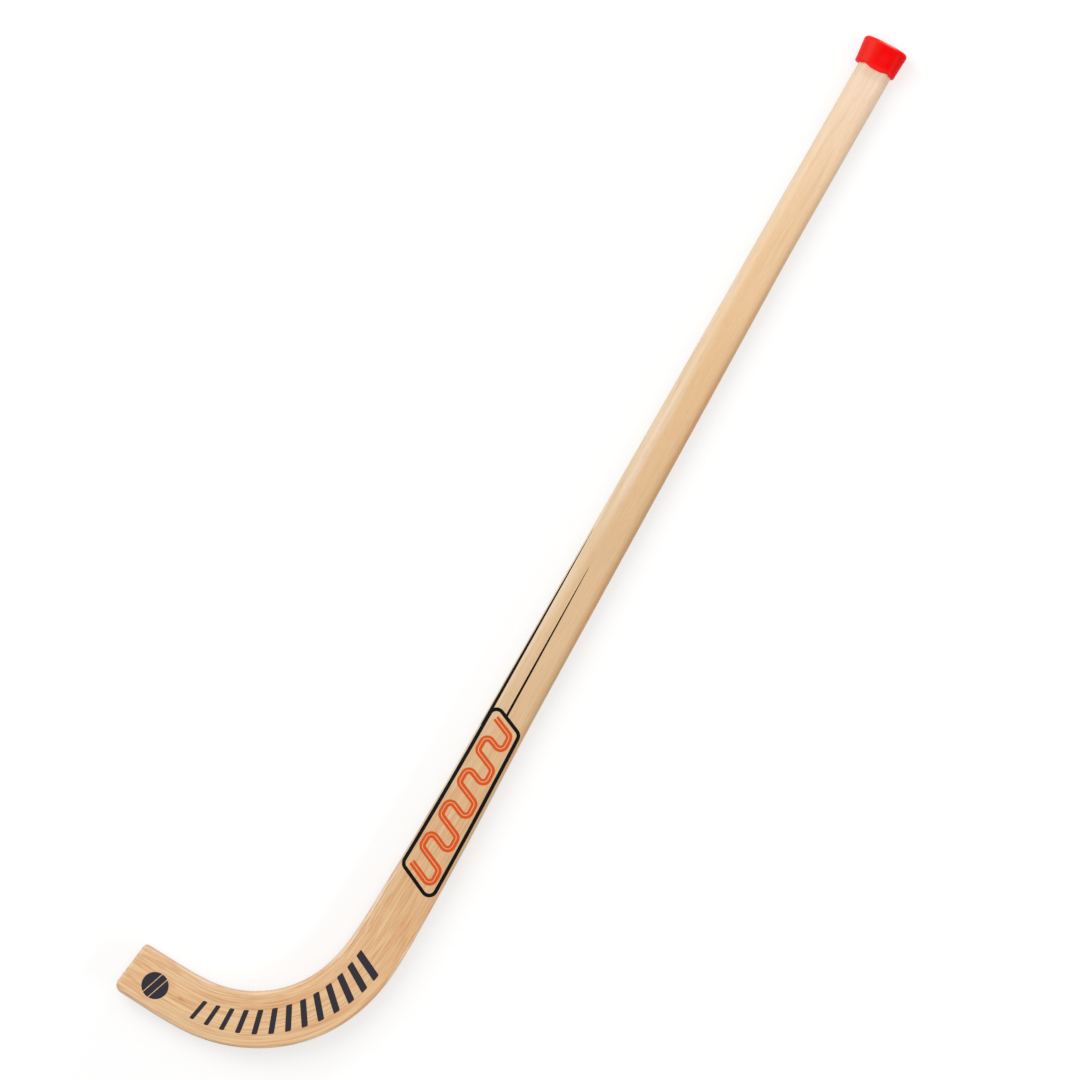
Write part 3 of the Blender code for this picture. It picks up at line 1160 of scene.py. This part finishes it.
    def lath_piece(self, number: int, places: Array, wood: bpy.types.Material) -> Piece:
        """One lath as a closed solid with smooth normals over its planed faces.

        Args:
            number: Which lath, from 0 at the inner edge.
            places: Places of the rings that all laths share.
            wood: Its material.

        Returns:
            The lath.
        """
        rings = self.rings(number, places)
        shell = Shell()
        self.add_columns(shell, rings)
        self.add_ends(shell, rings)
        points = np.stack([rings.top, rings.bottom])
        grain = self.form.grain(rings.along, rings.across, points)
        piece = smooth_piece(f"ash_lath_{number + 1:02d}", points, shell.faces(), grain, wood)
        shell.dress(piece.data)
        # How far each normal leans aside, for the painted highlight on the rounded edges.
        lean = np.hypot(rings.up[..., 0], rings.up[..., 1])
        share = rings.across / self.form.width_at(rings.along)
        values = {"lath": np.full_like(lean, number + 1.0), "lean": lean, "share": share}
        for name, value in values.items():
            carry(piece.data, name, np.stack([value, value]))
        return piece

    def add_columns(self, shell: Shell, rings: LathRings) -> None:
        """Add the long faces, with their texture map folded into columns side by side.

        Args:
            shell: The mesh in the making.
            rings: The lath's rings.
        """
        line = rings.along[:, 0]
        count = max(1, math.ceil((line[-1] - line[0]) / self.column_length))
        breaks = np.searchsorted(line, line[0] + np.arange(1, count) * self.column_length)
        breaks = [0, *breaks.tolist(), len(line) - 1]
        low, high = self.column_rows
        for column, (first, last) in enumerate(zip(breaks, breaks[1:])):
            part = np.s_[first : last + 1]
            upper, lower, outer = rings.upper[part], rings.lower[part], rings.outer[part, None]
            gone = (rings.along[part] - line[first]) / (self.column_length + self.column_spare)
            rows = low + (high - low) * gone
            faces = (
                (upper, rings.up[part], rows),
                (lower[:, ::-1], rings.down[part, ::-1], rows[:, ::-1]),
                (np.column_stack([lower[:, 0], upper[:, 0]]), -outer, rows[:, :1]),
                (np.column_stack([upper[:, -1], lower[:, -1]]), outer, rows[:, -1:]),
            )
            for (index, normal, up), (left, right) in zip(faces, self.column_faces):
                places = (column + np.linspace(left, right, index.shape[1])) / count
                shell.strip(index, normal, places, up)

    def add_ends(self, shell: Shell, rings: LathRings) -> None:
        """Close the two ends, with their places at the top of the texture map.

        Args:
            shell: The mesh in the making.
            rings: The lath's rings.
        """
        last = rings.ahead[-1]
        if rings.along[-1, 0] > self.zone():
            last = self.form.outward(rings.along[-1], rings.across[-1])
        ends = (
            (rings.upper[0], rings.lower[0], -rings.ahead[0]),
            (rings.lower[-1], rings.upper[-1], last),
        )
        for (start, end, plan), columns in zip(ends, self.end_faces):
            normal = np.zeros((len(start), 1, 3))
            normal[:, 0, :2] = plan
            rows = np.linspace(*self.end_rows, len(start))[:, None]
            shell.strip(np.column_stack([start, end]), normal, columns, rows)


def girth_to(across: Array, width: Array, radius: Array) -> Array:
    """Length over the rounded top of the section, from the inner edge to a distance across.

    Args:
        across: Distances across.
        width: Width of the section.
        radius: Rounding of its edges.

    Returns:
        The lengths.
    """
    from_inner = np.minimum(across, radius)
    from_outer = np.clip(width - across, 0.0, radius)
    flat = np.minimum(np.maximum(across - radius, 0.0), width - 2.0 * radius)
    inner_arc = radius * np.arccos(1.0 - from_inner / radius)
    outer_arc = radius * (0.5 * math.pi - np.arccos(1.0 - from_outer / radius))
    return inner_arc + flat + outer_arc


def across_at(girth: Array, width: Array, radius: Array) -> Array:
    """Distance across for a length over the rounded top: the inverse of girth_to.

    Args:
        girth: Lengths over the top.
        width: Width of the section.
        radius: Rounding of its edges.

    Returns:
        The distances across.
    """
    arc = 0.5 * math.pi * radius
    flat = width - 2.0 * radius
    first = radius * (1.0 - np.cos(np.minimum(girth, arc) / radius))
    last = width - radius * (1.0 - np.cos(np.clip(2.0 * arc + flat - girth, 0.0, arc) / radius))
    middle = radius + girth - arc
    return np.where(girth < arc, first, np.where(girth < arc + flat, middle, last))


@dataclass
class ButtCap:
    """The push-on rubber cap: flared skin, crowned end, rounded lip, wavy rim and open socket."""

    form: StickForm
    length: float = 0.0247
    clearance: float = 0.0003
    grip: float = 0.00006
    grip_depth: float = 0.004
    wall: float = 0.0029
    end_wall: float = 0.0033
    flare: float = 0.0014
    flare_power: float = 1.1
    corner_radius: float = 0.0035
    crown: float = 0.0012
    flat_share: float = 0.92
    rim_dip: float = 0.00115
    rim_middle: float = -0.00035
    tongue_reach: float = 0.00306
    dip_place: float = 0.0102
    dip_reach: float = 0.0034
    shift: float = 0.00145
    tilt: float = 0.035
    end_run: Pair = (0.08, 0.94)
    skin_run: Pair = (0.12, 1.0)
    socket_middle: float = 0.4
    rings_over_flats: int = 8
    rings_over_bends: int = 11
    corner_facets: int = 22
    flat_facets: int = 20
    sharp_from: float = math.radians(50.0)

    def build(self, finish: CapRubber) -> Piece:
        """Make the cap and dress it.

        Args:
            finish: The cap's rubber.

        Returns:
            The cap.
        """
        rings = self.rings()
        sections = np.array([self.loop(*ring) for ring in rings])
        loops = np.array([self.settled(loop, ring[1]) for loop, ring in zip(sections, rings)])
        middles = [[rings[0, 0], 0.0, 0.0], [rings[-1, 0], 0.0, 0.0]]
        centre = self.form.origin - np.array([0.0, 0.5 * self.form.grip_width, 0.0])
        points = np.concatenate([loops.reshape(-1, 3), middles]) + centre
        own = np.concatenate([sections.reshape(-1, 3), middles])
        index = np.arange(loops[..., 0].size).reshape(loops.shape[:2])
        after = np.roll(index, -1, axis=1)
        quads = np.stack([index[:-1], after[:-1], after[1:], index[1:]], axis=-1)
        faces = quads.reshape(-1, 4).tolist()
        closings = ((after[0], index[0]), (index[-1], after[-1]))
        for middle, (ring, following) in enumerate(closings, index.size):
            faces += [[a, b, middle] for a, b in zip(ring.tolist(), following.tolist())]
        cap = smooth_piece("rubber_butt_cap", points, faces, own, finish.material())
        cap.data.set_sharp_from_angle(angle=self.sharp_from)
        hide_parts("butt_cap")
        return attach(cap, Body.CAP.value)

    def rings(self) -> Array:
        """Rings from the middle of the end, over the skin and the rim, into the socket.

        Returns:
            One row for each ring: its place, how far it stands off the butt's section, its share
            of that section's size, and how much it follows the wavy rim.
        """
        top = self.clearance + self.end_wall
        rim = top - self.length
        skin = self.clearance + self.wall
        corner = self.corner_radius
        brow, inset = top - self.crown - corner, skin + self.flare - corner
        lip = 0.5 * (skin - self.grip)
        throat = rim + 2.0 * lip
        across = np.linspace(*self.end_run, self.rings_over_flats)
        turn = np.linspace(0.5 * math.pi, 0.0, self.rings_over_bends)
        down = np.linspace(*self.skin_run, self.rings_over_flats)
        flared = skin + self.flare * (1.0 - down) ** self.flare_power
        over = np.linspace(0.0, math.pi, self.rings_over_bends)[1:-1]
        back = np.linspace(0.0, 1.0, self.rings_over_flats)
        within = throat + back * (self.clearance - throat)
        tight = 1.0 - ramp((within - rim) / self.grip_depth)
        stretches = (
            (top - self.crown * across**2, inset, across, 0.0),
            (brow + corner * np.sin(turn), inset + corner * np.cos(turn), 1.0, 0.0),
            (brow + down * (throat - brow), flared, 1.0, down**2),
            (rim + lip - lip * np.sin(over), skin - lip + lip * np.cos(over), 1.0, 1.0),
            (within, self.clearance + (self.grip - self.clearance) * tight, 1.0, 1.0 - back),
            (self.clearance, self.clearance, self.socket_middle, 0.0),
        )
        return np.concatenate([np.column_stack(np.broadcast_arrays(*s)) for s in stretches])

    def loop(self, place: float, grow: float, share: float, waving: float) -> Array:
        """The points of one ring about the cap's centre.

        Args:
            place: How far it lies past the butt.
            grow: How far it stands off the butt's section.
            share: Its share of that section's size.
            waving: How much it follows the wavy rim.

        Returns:
            The points, with the stick's inner edge at +y.
        """
        half_width = 0.5 * self.form.grip_width + grow
        half_thickness = 0.5 * self.form.grip_thickness + self.flat_share * grow
        radius = self.form.shaft_edge_radius + grow
        outline = []
        for quarter, (side, top) in enumerate(((1, 1), (-1, 1), (-1, -1), (1, -1))):
            centre = np.array([side * (half_width - radius), top * (half_thickness - radius)])
            turn = 0.5 * math.pi * (quarter + np.linspace(0.0, 1.0, self.corner_facets + 1))
            outline.append(centre + radius * np.column_stack([np.cos(turn), np.sin(turn)]))
            if top == side:
                flat = np.linspace(centre[0], -centre[0], self.flat_facets + 1)[1:-1]
                outline.append(np.column_stack([flat, np.full(len(flat), top * half_thickness)]))
        section = np.concatenate(outline)
        aside = np.abs(section[:, 0])
        tongue = self.rim_middle / self.rim_dip
        past_tongue = (aside - self.tongue_reach) / (self.dip_place - self.tongue_reach)
        to_middle = tongue + (1.0 - tongue) * ramp(past_tongue)
        to_ear = ramp((self.dip_place + self.dip_reach - aside) / self.dip_reach)
        rise = self.rim_dip * np.minimum(to_middle, to_ear)
        return np.column_stack([place + waving * rise, share * section])

    def settled(self, loop: Array, grow: float) -> Array:
        """A ring of the skin as it sits, a little askew; the socket stays square on the butt.

        Args:
            loop: The ring's points about the cap's centre, with the stick's inner edge at +y.
            grow: How far the ring stands off the butt's section.

        Returns:
            The points, moved.
        """
        past_butt = float(loop[0, 0] > self.clearance)
        share = max(past_butt, float(ramp(np.array(grow / self.wall))))
        moved = loop.copy()
        moved[:, 0] -= share * self.tilt * loop[:, 1]
        moved[:, 1] += share * (self.shift + self.tilt * loop[:, 0])
        return moved


@dataclass
class Drape:
    """Lays printed shapes on the stick's upper face as thin closed films."""

    form: StickForm
    lift: float = 0.00004
    sink: float = 0.00005
    step: float = 0.0008
    sharp_from: float = math.radians(40.0)

    def band(self, name: str, first: Array, second: Array, ink: Ink, closed: bool = False) -> Piece:
        """A film between two lines.

        Args:
            name: The piece's name.
            first: Places (along, across) down one line.
            second: As many places down the other line.
            ink: The film's ink.
            closed: Whether the lines end where they begin.

        Returns:
            The film, riding on the stick.
        """
        wide = np.hypot(*(first - second).T).max()
        shares = np.linspace(0.0, 1.0, max(2, math.ceil(wide / self.step)) + 1)[:, None]
        grid = first[:, None] * (1.0 - shares) + second[:, None] * shares
        along, across = grid[..., 0], grid[..., 1]
        lifts = (self.lift, -self.sink)
        points = np.stack([self.form.skin(along, across, Side.UPPER, lift)[0] for lift in lifts])
        upper = np.arange(along.size).reshape(along.shape)
        if closed:
            upper = np.vstack([upper, upper[:1]])
        lower = upper + along.size
        sheets = [
            upper,
            lower[:, ::-1],
            np.column_stack([lower[:, 0], upper[:, 0]]),
            np.column_stack([upper[:, -1], lower[:, -1]]),
        ]
        if not closed:
            sheets += [np.stack([lower[0], upper[0]]), np.stack([upper[-1], lower[-1]])]
        faces = np.concatenate([cells(sheet).reshape(-1, 4) for sheet in sheets])
        if self.turned(points[0]):
            faces = faces[:, ::-1]
        grain = self.form.grain(along, across, points)
        film = smooth_piece(name, points, faces.tolist(), grain, InkFilm(ink).material())
        film.data.set_sharp_from_angle(angle=self.sharp_from)
        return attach(film, Body.STICK.value)

    def turned(self, points: Array) -> bool:
        """Whether a film's outer sheet looks into the stick, judged in its middle.

        Args:
            points: The sheet's points in rows and columns.

        Returns:
            True where its faces have to be turned over.
        """
        row, column = len(points) // 2, points.shape[1] // 2
        ahead = points[row + 1, column] - points[row, column]
        aside = points[row, column] - points[row, column - 1]
        return float(np.cross(ahead, aside)[2]) < 0.0

    def line(
        self, name: str, path: Array, half: Array | float, ink: Ink, closed: bool = False
    ) -> Piece:
        """A film of a given half width about a path.

        Args:
            name: The piece's name.
            path: Places (along, across) down the middle of the line.
            half: Half of the line's width, for all of them or for each.
            ink: The film's ink.
            closed: Whether the path ends where it begins.

        Returns:
            The film, riding on the stick.
        """
        if closed:
            steps = np.roll(path, -1, axis=0) - np.roll(path, 1, axis=0)
        else:
            steps = np.gradient(path, axis=0)
        stretch = self.form.stretch(path[:, 0], path[:, 1])
        direction = unit(np.column_stack([steps[:, 0] * stretch, steps[:, 1]]))
        offset = np.stack([-direction[:, 1] / stretch, direction[:, 0]]) * half
        return self.band(name, path + offset.T, path - offset.T, ink, closed)


def resampled(path: Array, step: float, closed: bool, least: int = 8) -> Array:
    """The same path with its points even steps apart.

    Args:
        path: Points of the path.
        step: About how far apart the points have to be.
        closed: Whether the path ends where it begins.
        least: The fewest steps that it may have.

    Returns:
        The new points.
    """
    line = np.vstack([path, path[:1]]) if closed else path
    lengths = np.concatenate([[0.0], np.cumsum(np.hypot(*np.diff(line, axis=0).T))])
    wanted = np.linspace(0.0, lengths[-1], max(least, round(lengths[-1] / step)) + 1)
    if closed:
        wanted = wanted[:-1]
    return np.column_stack([np.interp(wanted, lengths, line[:, k]) for k in (0, 1)])


def corner_arc(before: Array, here: Array, after: Array, radius: float, count: int = 17) -> Array:
    """The arc that rounds off a corner.

    Args:
        before: The corner before it.
        here: The corner.
        after: The corner after it.
        radius: Radius of the arc.
        count: How many points it has.

    Returns:
        Points of the arc, in order.
    """
    back = unit(before - here)
    ahead = unit(after - here)
    half = 0.5 * math.acos(float(np.clip(back @ ahead, -1.0, 1.0)))
    centre = here + unit(back + ahead) * radius / math.sin(half)
    start = here + back * radius / math.tan(half) - centre
    end = here + ahead * radius / math.tan(half) - centre
    first = math.atan2(start[1], start[0])
    turn = math.atan2(start[0] * end[1] - start[1] * end[0], float(start @ end))
    angles = first + turn * np.linspace(0.0, 1.0, count)
    return centre + radius * np.column_stack([np.cos(angles), np.sin(angles)])


def rounded_path(corners: Array, radius: float, step: float, closed: bool = False) -> Array:
    """A path through corners, each rounded off by an arc but the ends of an open one.

    Args:
        corners: The corners in order.
        radius: Radius of the arcs.
        step: Distance between the path's points.
        closed: Whether the path ends where it begins.

    Returns:
        The points of the path.
    """
    line = np.vstack([corners[-1:], corners, corners[:1]]) if closed else corners
    arcs = [corner_arc(*three, radius) for three in zip(line, line[1:], line[2:])]
    if not closed:
        arcs = [corners[:1], *arcs, corners[-1:]]
    return resampled(np.concatenate(arcs), step, closed)


def beside(path: Array, distance: float) -> Array:
    """A path that runs beside another at a distance."""
    direction = unit(np.gradient(path, axis=0))
    return path + distance * np.column_stack([-direction[:, 1], direction[:, 0]])


@dataclass
class NeckTrim:
    """The neck's print: a black keyline frame round a winding pair of orange lines."""

    drape: Drape
    start: float = 0.6290
    end: float = 0.7965
    inner: float = 0.0028
    outer_at_start: float = 0.0330
    outer_at_end: float = 0.0388
    slant: float = 0.42
    keyline: float = 0.0031
    corner: float = 0.0060
    strokes: int = 10
    margin: float = 0.0062
    end_margin: float = 0.0078
    bend_radius: float = 0.0045
    outer_line: float = 0.0025
    inner_line: float = 0.0022
    gap: float = 0.0007
    line_step: float = 0.00048

    def build(self) -> list[Piece]:
        """Make the frame and the lines in it.

        Returns:
            The films.
        """
        around = rounded_path(self.corners(0.0, 0.0), self.corner, self.drape.step, True)
        half = 0.5 * self.keyline
        pieces = [self.drape.line("neck_keyline", around, half, Ink.BLACK, True)]
        middle = self.winding()
        apart = 0.5 * (self.outer_line + self.inner_line) + self.gap
        for name, aside, width in (
            ("neck_line_wide", 0.5 * apart, self.outer_line),
            ("neck_line_narrow", -0.5 * apart, self.inner_line),
        ):
            path = beside(middle, aside)
            pieces.append(self.drape.line(name, path, 0.5 * width, Ink.ORANGE))
        return pieces

    def corners(self, in_from_ends: float, in_from_sides: float) -> Array:
        """Corners of a shape that stands in from the frame.

        Args:
            in_from_ends: How far in from the slanted ends, along the stick.
            in_from_sides: How far in from the long sides.

        Returns:
            Four places (along, across), round from the inner corner nearest the butt.
        """
        low = self.inner + in_from_sides
        near = self.outer_at_start - in_from_sides
        far = self.outer_at_end - in_from_sides
        first = self.start + in_from_ends
        last = self.end - self.slant * (self.outer_at_end - self.inner) - in_from_ends
        places = ((first, low), (last, low), (last, far), (first, near))
        return np.array([(a + self.slant * (c - self.inner), c) for a, c in places])

    def winding(self) -> Array:
        """The path between the two lines: slanted strokes joined at alternate ends by bends.

        Returns:
            Places (along, across) on the path.
        """
        box = self.corners(self.end_margin, self.margin)
        points = []
        for number, share in enumerate(np.linspace(0.0, 1.0, self.strokes)):
            low = box[0] + (box[1] - box[0]) * share
            high = box[3] + (box[2] - box[3]) * share
            points += [high, low] if number % 2 else [low, high]
        return rounded_path(np.array(points), self.bend_radius, self.line_step)


@dataclass(frozen=True)
class Stripe:
    """A tapering stripe: its run along and across, its widest, and how late it narrows."""

    name: str
    run: Pair
    across: Pair
    width: float
    taper: float


@dataclass
class Pinstripes:
    """Two black pinstripes that run up the shaft from the neck's frame and taper away."""

    drape: Drape
    stripes: tuple[Stripe, ...] = (
        Stripe("edge_pinstripe", (0.650, 0.4640), (0.0023, 0.0013), 0.0028, 0.75),
        Stripe("middle_pinstripe", (0.6350, 0.4930), (0.0160, 0.0138), 0.0021, 0.60),
    )
    finest: float = 0.00012
    step: float = 0.0012

    def build(self) -> list[Piece]:
        """Make both stripes."""
        return [self.film(stripe) for stripe in self.stripes]

    def film(self, stripe: Stripe) -> Piece:
        """One stripe, from its wide end to its fine one.

        Args:
            stripe: Its sizes.

        Returns:
            The film.
        """
        wide_end, fine_end = stripe.run
        shares = np.linspace(0.0, 1.0, round((wide_end - fine_end) / self.step) + 1)
        runs = (stripe.run, stripe.across)
        path = np.column_stack([start + (end - start) * shares for start, end in runs])
        left = (1.0 - shares) ** stripe.taper
        half = 0.5 * (self.finest + (stripe.width - self.finest) * left)
        return self.drape.line(stripe.name, path, half, Ink.BLACK)


@dataclass
class BladeTrim:
    """The blade's print: charcoal bars that shrink to the tip, and a disc cut in slices."""

    drape: Drape
    start: float = 0.8650
    end: float = 0.9885
    middle: float = 0.0245
    bars: int = 13
    bunching: float = 0.06
    heights: Pair = (0.0245, 0.0180)
    widths: Pair = (0.0066, 0.0036)
    slant: float = 0.30
    corner: float = 0.0009
    least_half: float = 0.1
    disc_along: float = 1.0260
    disc_radius: float = 0.0112
    cuts: tuple[float, ...] = (-0.0160, -0.0034, 0.0030, 0.0160)
    cut_width: float = 0.0007
    least_chord: float = 0.0003
    row: float = 0.0004

    def build(self) -> list[Piece]:
        """Make every bar, from the heel to the tip, and the disc.

        Returns:
            The films.
        """
        pieces = []
        for number, share in enumerate(np.linspace(0.0, 1.0, self.bars)):
            height, width = (a + (b - a) * share for a, b in (self.heights, self.widths))
            gone = share * (1.0 + self.bunching * (1.0 - share))
            along = self.start + (self.end - self.start) * gone
            pieces.append(self.bar(number, along, width, height))
        for number, (left, right) in enumerate(zip(self.cuts, self.cuts[1:])):
            pieces.append(self.slice(number, left, right))
        return pieces

    def bar(self, number: int, along: float, width: float, height: float) -> Piece:
        """One bar with parallel sides and slightly rounded corners.

        Args:
            number: Which bar, from 0 at the heel.
            along: Where its middle lies.
            width: Its width along the stick.
            height: Its height across the stick.

        Returns:
            The film.
        """
        rise = np.linspace(0.0, height, round(height / self.row) + 1)
        inset = rounded_depth(np.minimum(rise, height - rise), self.corner)
        half = np.maximum(0.5 * width - inset, self.least_half * width)
        name = f"blade_bar_{number + 1:02d}"
        return self.slanted(name, along, rise - 0.5 * height, -half, half)

    def slice(self, number: int, left: float, right: float) -> Piece:
        """One slice of the disc, between two cuts.

        Args:
            number: Which slice, from 0 at the heel's side.
            left: Place of the first cut, from the disc's middle.
            right: Place of the second one.

        Returns:
            The film.
        """
        rise = np.linspace(-1.0, 1.0, round(2.0 * self.disc_radius / self.row) + 1)
        rise = self.disc_radius * np.sin(0.5 * math.pi * rise)
        chord = np.sqrt(np.maximum(self.disc_radius**2 - rise**2, 0.0))
        middle = -self.slant * rise
        low = np.maximum(middle - chord, left + 0.5 * self.cut_width)
        high = np.minimum(middle + chord, right - 0.5 * self.cut_width)
        kept = high - low > self.least_chord
        name = f"blade_disc_slice_{number + 1}"
        return self.slanted(name, self.disc_along, rise[kept], low[kept], high[kept])

    def slanted(self, name: str, along: float, rise: Array, left: Array, right: Array) -> Piece:
        """A film whose rows shift aside as they rise.

        Args:
            name: The film's name.
            along: Where its middle lies.
            rise: Distance of each row from the print's middle line.
            left: Where each row begins, from its middle.
            right: Where it ends.

        Returns:
            The film.
        """
        across = self.middle + rise
        stretch = self.drape.form.stretch(np.full_like(rise, along), across)
        shifted = [along + (self.slant * rise + side) / stretch for side in (left, right)]
        first, second = (np.column_stack([side, across]) for side in shifted)
        return self.drape.band(name, first, second, Ink.CHARCOAL)


@dataclass(frozen=True)
class PaleFloor:
    """A plain white floor that shows white to the camera and keeps the stick's soft shadow."""

    albedo: float = 0.50
    glow: float = 0.59

    def material(self) -> bpy.types.Material:
        """Build the floor's surface: matt, with a glow that only the camera sees.

        Returns:
            The material.
        """
        g = NodeGraph(bpy.data.materials.new("pale_floor"))
        grey = (self.albedo, self.albedo, self.albedo, 1.0)
        matt = g.add("BsdfDiffuse", {"Color": grey}).outputs[0]
        glow = g.add("Emission", {"Strength": g.product(g.seen(), self.glow)}).outputs[0]
        both = g.add("AddShader", {0: matt, 1: glow}).outputs[0]
        g.feed(g.tree.nodes["Material Output"].inputs["Surface"], both)
        return g.owner


@dataclass(frozen=True)
class SoftLamp:
    """One soft rectangular lamp that looks at the stick."""

    name: str
    place: Triple
    size: Pair
    power: float

    def build(self, target: Vector) -> None:
        """Hang the lamp.

        Args:
            target: The point that it looks at.
        """
        data = bpy.data.lights.new(self.name, "AREA")
        data.shape = "RECTANGLE"
        data.size, data.size_y = self.size
        data.energy = self.power
        lamp = linked(self.name, data)
        lamp.location = self.place
        lamp.rotation_euler = (target - lamp.location).to_track_quat("-Z", "Y").to_euler()


@dataclass
class Studio:
    """A pale floor, soft light mostly from the picture's left, and the camera over the stick."""

    target: Triple = (-0.0001, -0.0239, 0.0145)
    view_width: float = 0.8908
    camera_height: float = 5.0
    camera_turn: float = math.radians(-60.19)
    sensor: float = 36.0
    floor_size: float = 12.0
    ambient: float = 0.445
    lamps: tuple[SoftLamp, ...] = (
        SoftLamp("soft_key", (0.35, 1.80, 2.00), (1.8, 2.6), 36.6),
        SoftLamp("right_rim", (0.0, -1.90, 1.25), (1.6, 0.40), 10.2),
        SoftLamp("butt_streak", (3.00, -0.10, 0.80), (0.9, 0.35), 26.0),
    )

    def build(self) -> None:
        """Make the floor, the world, the lamps and the camera."""
        self.floor()
        self.world()
        for lamp in self.lamps:
            lamp.build(Vector(self.target))
        self.camera()
        bpy.context.scene.view_settings.view_transform = "Standard"

    def floor(self) -> None:
        """The floor, just under the stick's lowest point."""
        half = 0.5 * self.floor_size
        corners = [(-half, -half, 0.0), (half, -half, 0.0), (half, half, 0.0), (-half, half, 0.0)]
        mesh = bpy.data.meshes.new("floor")
        mesh.from_pydata(corners, [], [(0, 1, 2, 3)])
        mesh.materials.append(PaleFloor().material())
        linked("floor", mesh)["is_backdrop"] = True

    def world(self) -> None:
        """Even light from all round, seen as white by the camera and in gloss."""
        world = bpy.data.worlds.new("soft_white")
        g = NodeGraph(world)
        background = g.tree.nodes["Background"]
        level = g.add("MapRange", {"Value": g.seen(), "To Min": self.ambient}).outputs["Result"]
        g.feed(background.inputs["Color"], (1.0, 1.0, 1.0, 1.0))
        g.feed(background.inputs["Strength"], level)
        bpy.context.scene.world = world

    def camera(self) -> None:
        """The camera straight over the stick, turned as the photograph is."""
        data = bpy.data.cameras.new("camera")
        data.sensor_width = self.sensor
        data.lens = self.sensor * self.camera_height / self.view_width
        camera = linked("camera", data)
        camera.location = Vector(self.target) + Vector((0.0, 0.0, self.camera_height))
        camera.rotation_euler = (0.0, 0.0, self.camera_turn)
        bpy.context.scene.camera = camera


def write_sizes() -> None:
    """Gather the CAD box and the visual model's box as plain lists of numbers.
    """
    boxes = [[list(corner) for corner in box] for box in (cad_box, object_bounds())]


def main() -> None:
    """Build the dressed stick and the studio round it, and report each piece."""
    logging.basicConfig(level=logging.INFO, format="%(name)s: %(message)s")
    form = StickForm()
    drape = Drape(form)
    pieces = LaminatedBlank(form).build(LacqueredAsh())
    pieces.append(ButtCap(form).build(CapRubber()))
    pieces += NeckTrim(drape).build()
    pieces += Pinstripes(Drape(form, lift=0.00003)).build()
    pieces += BladeTrim(drape).build()
    Studio().build()
    for piece in pieces:
        log.info("%s: %d points", piece.name, len(piece.data.vertices))
    write_sizes()


if __name__ == "__main__":
    main()
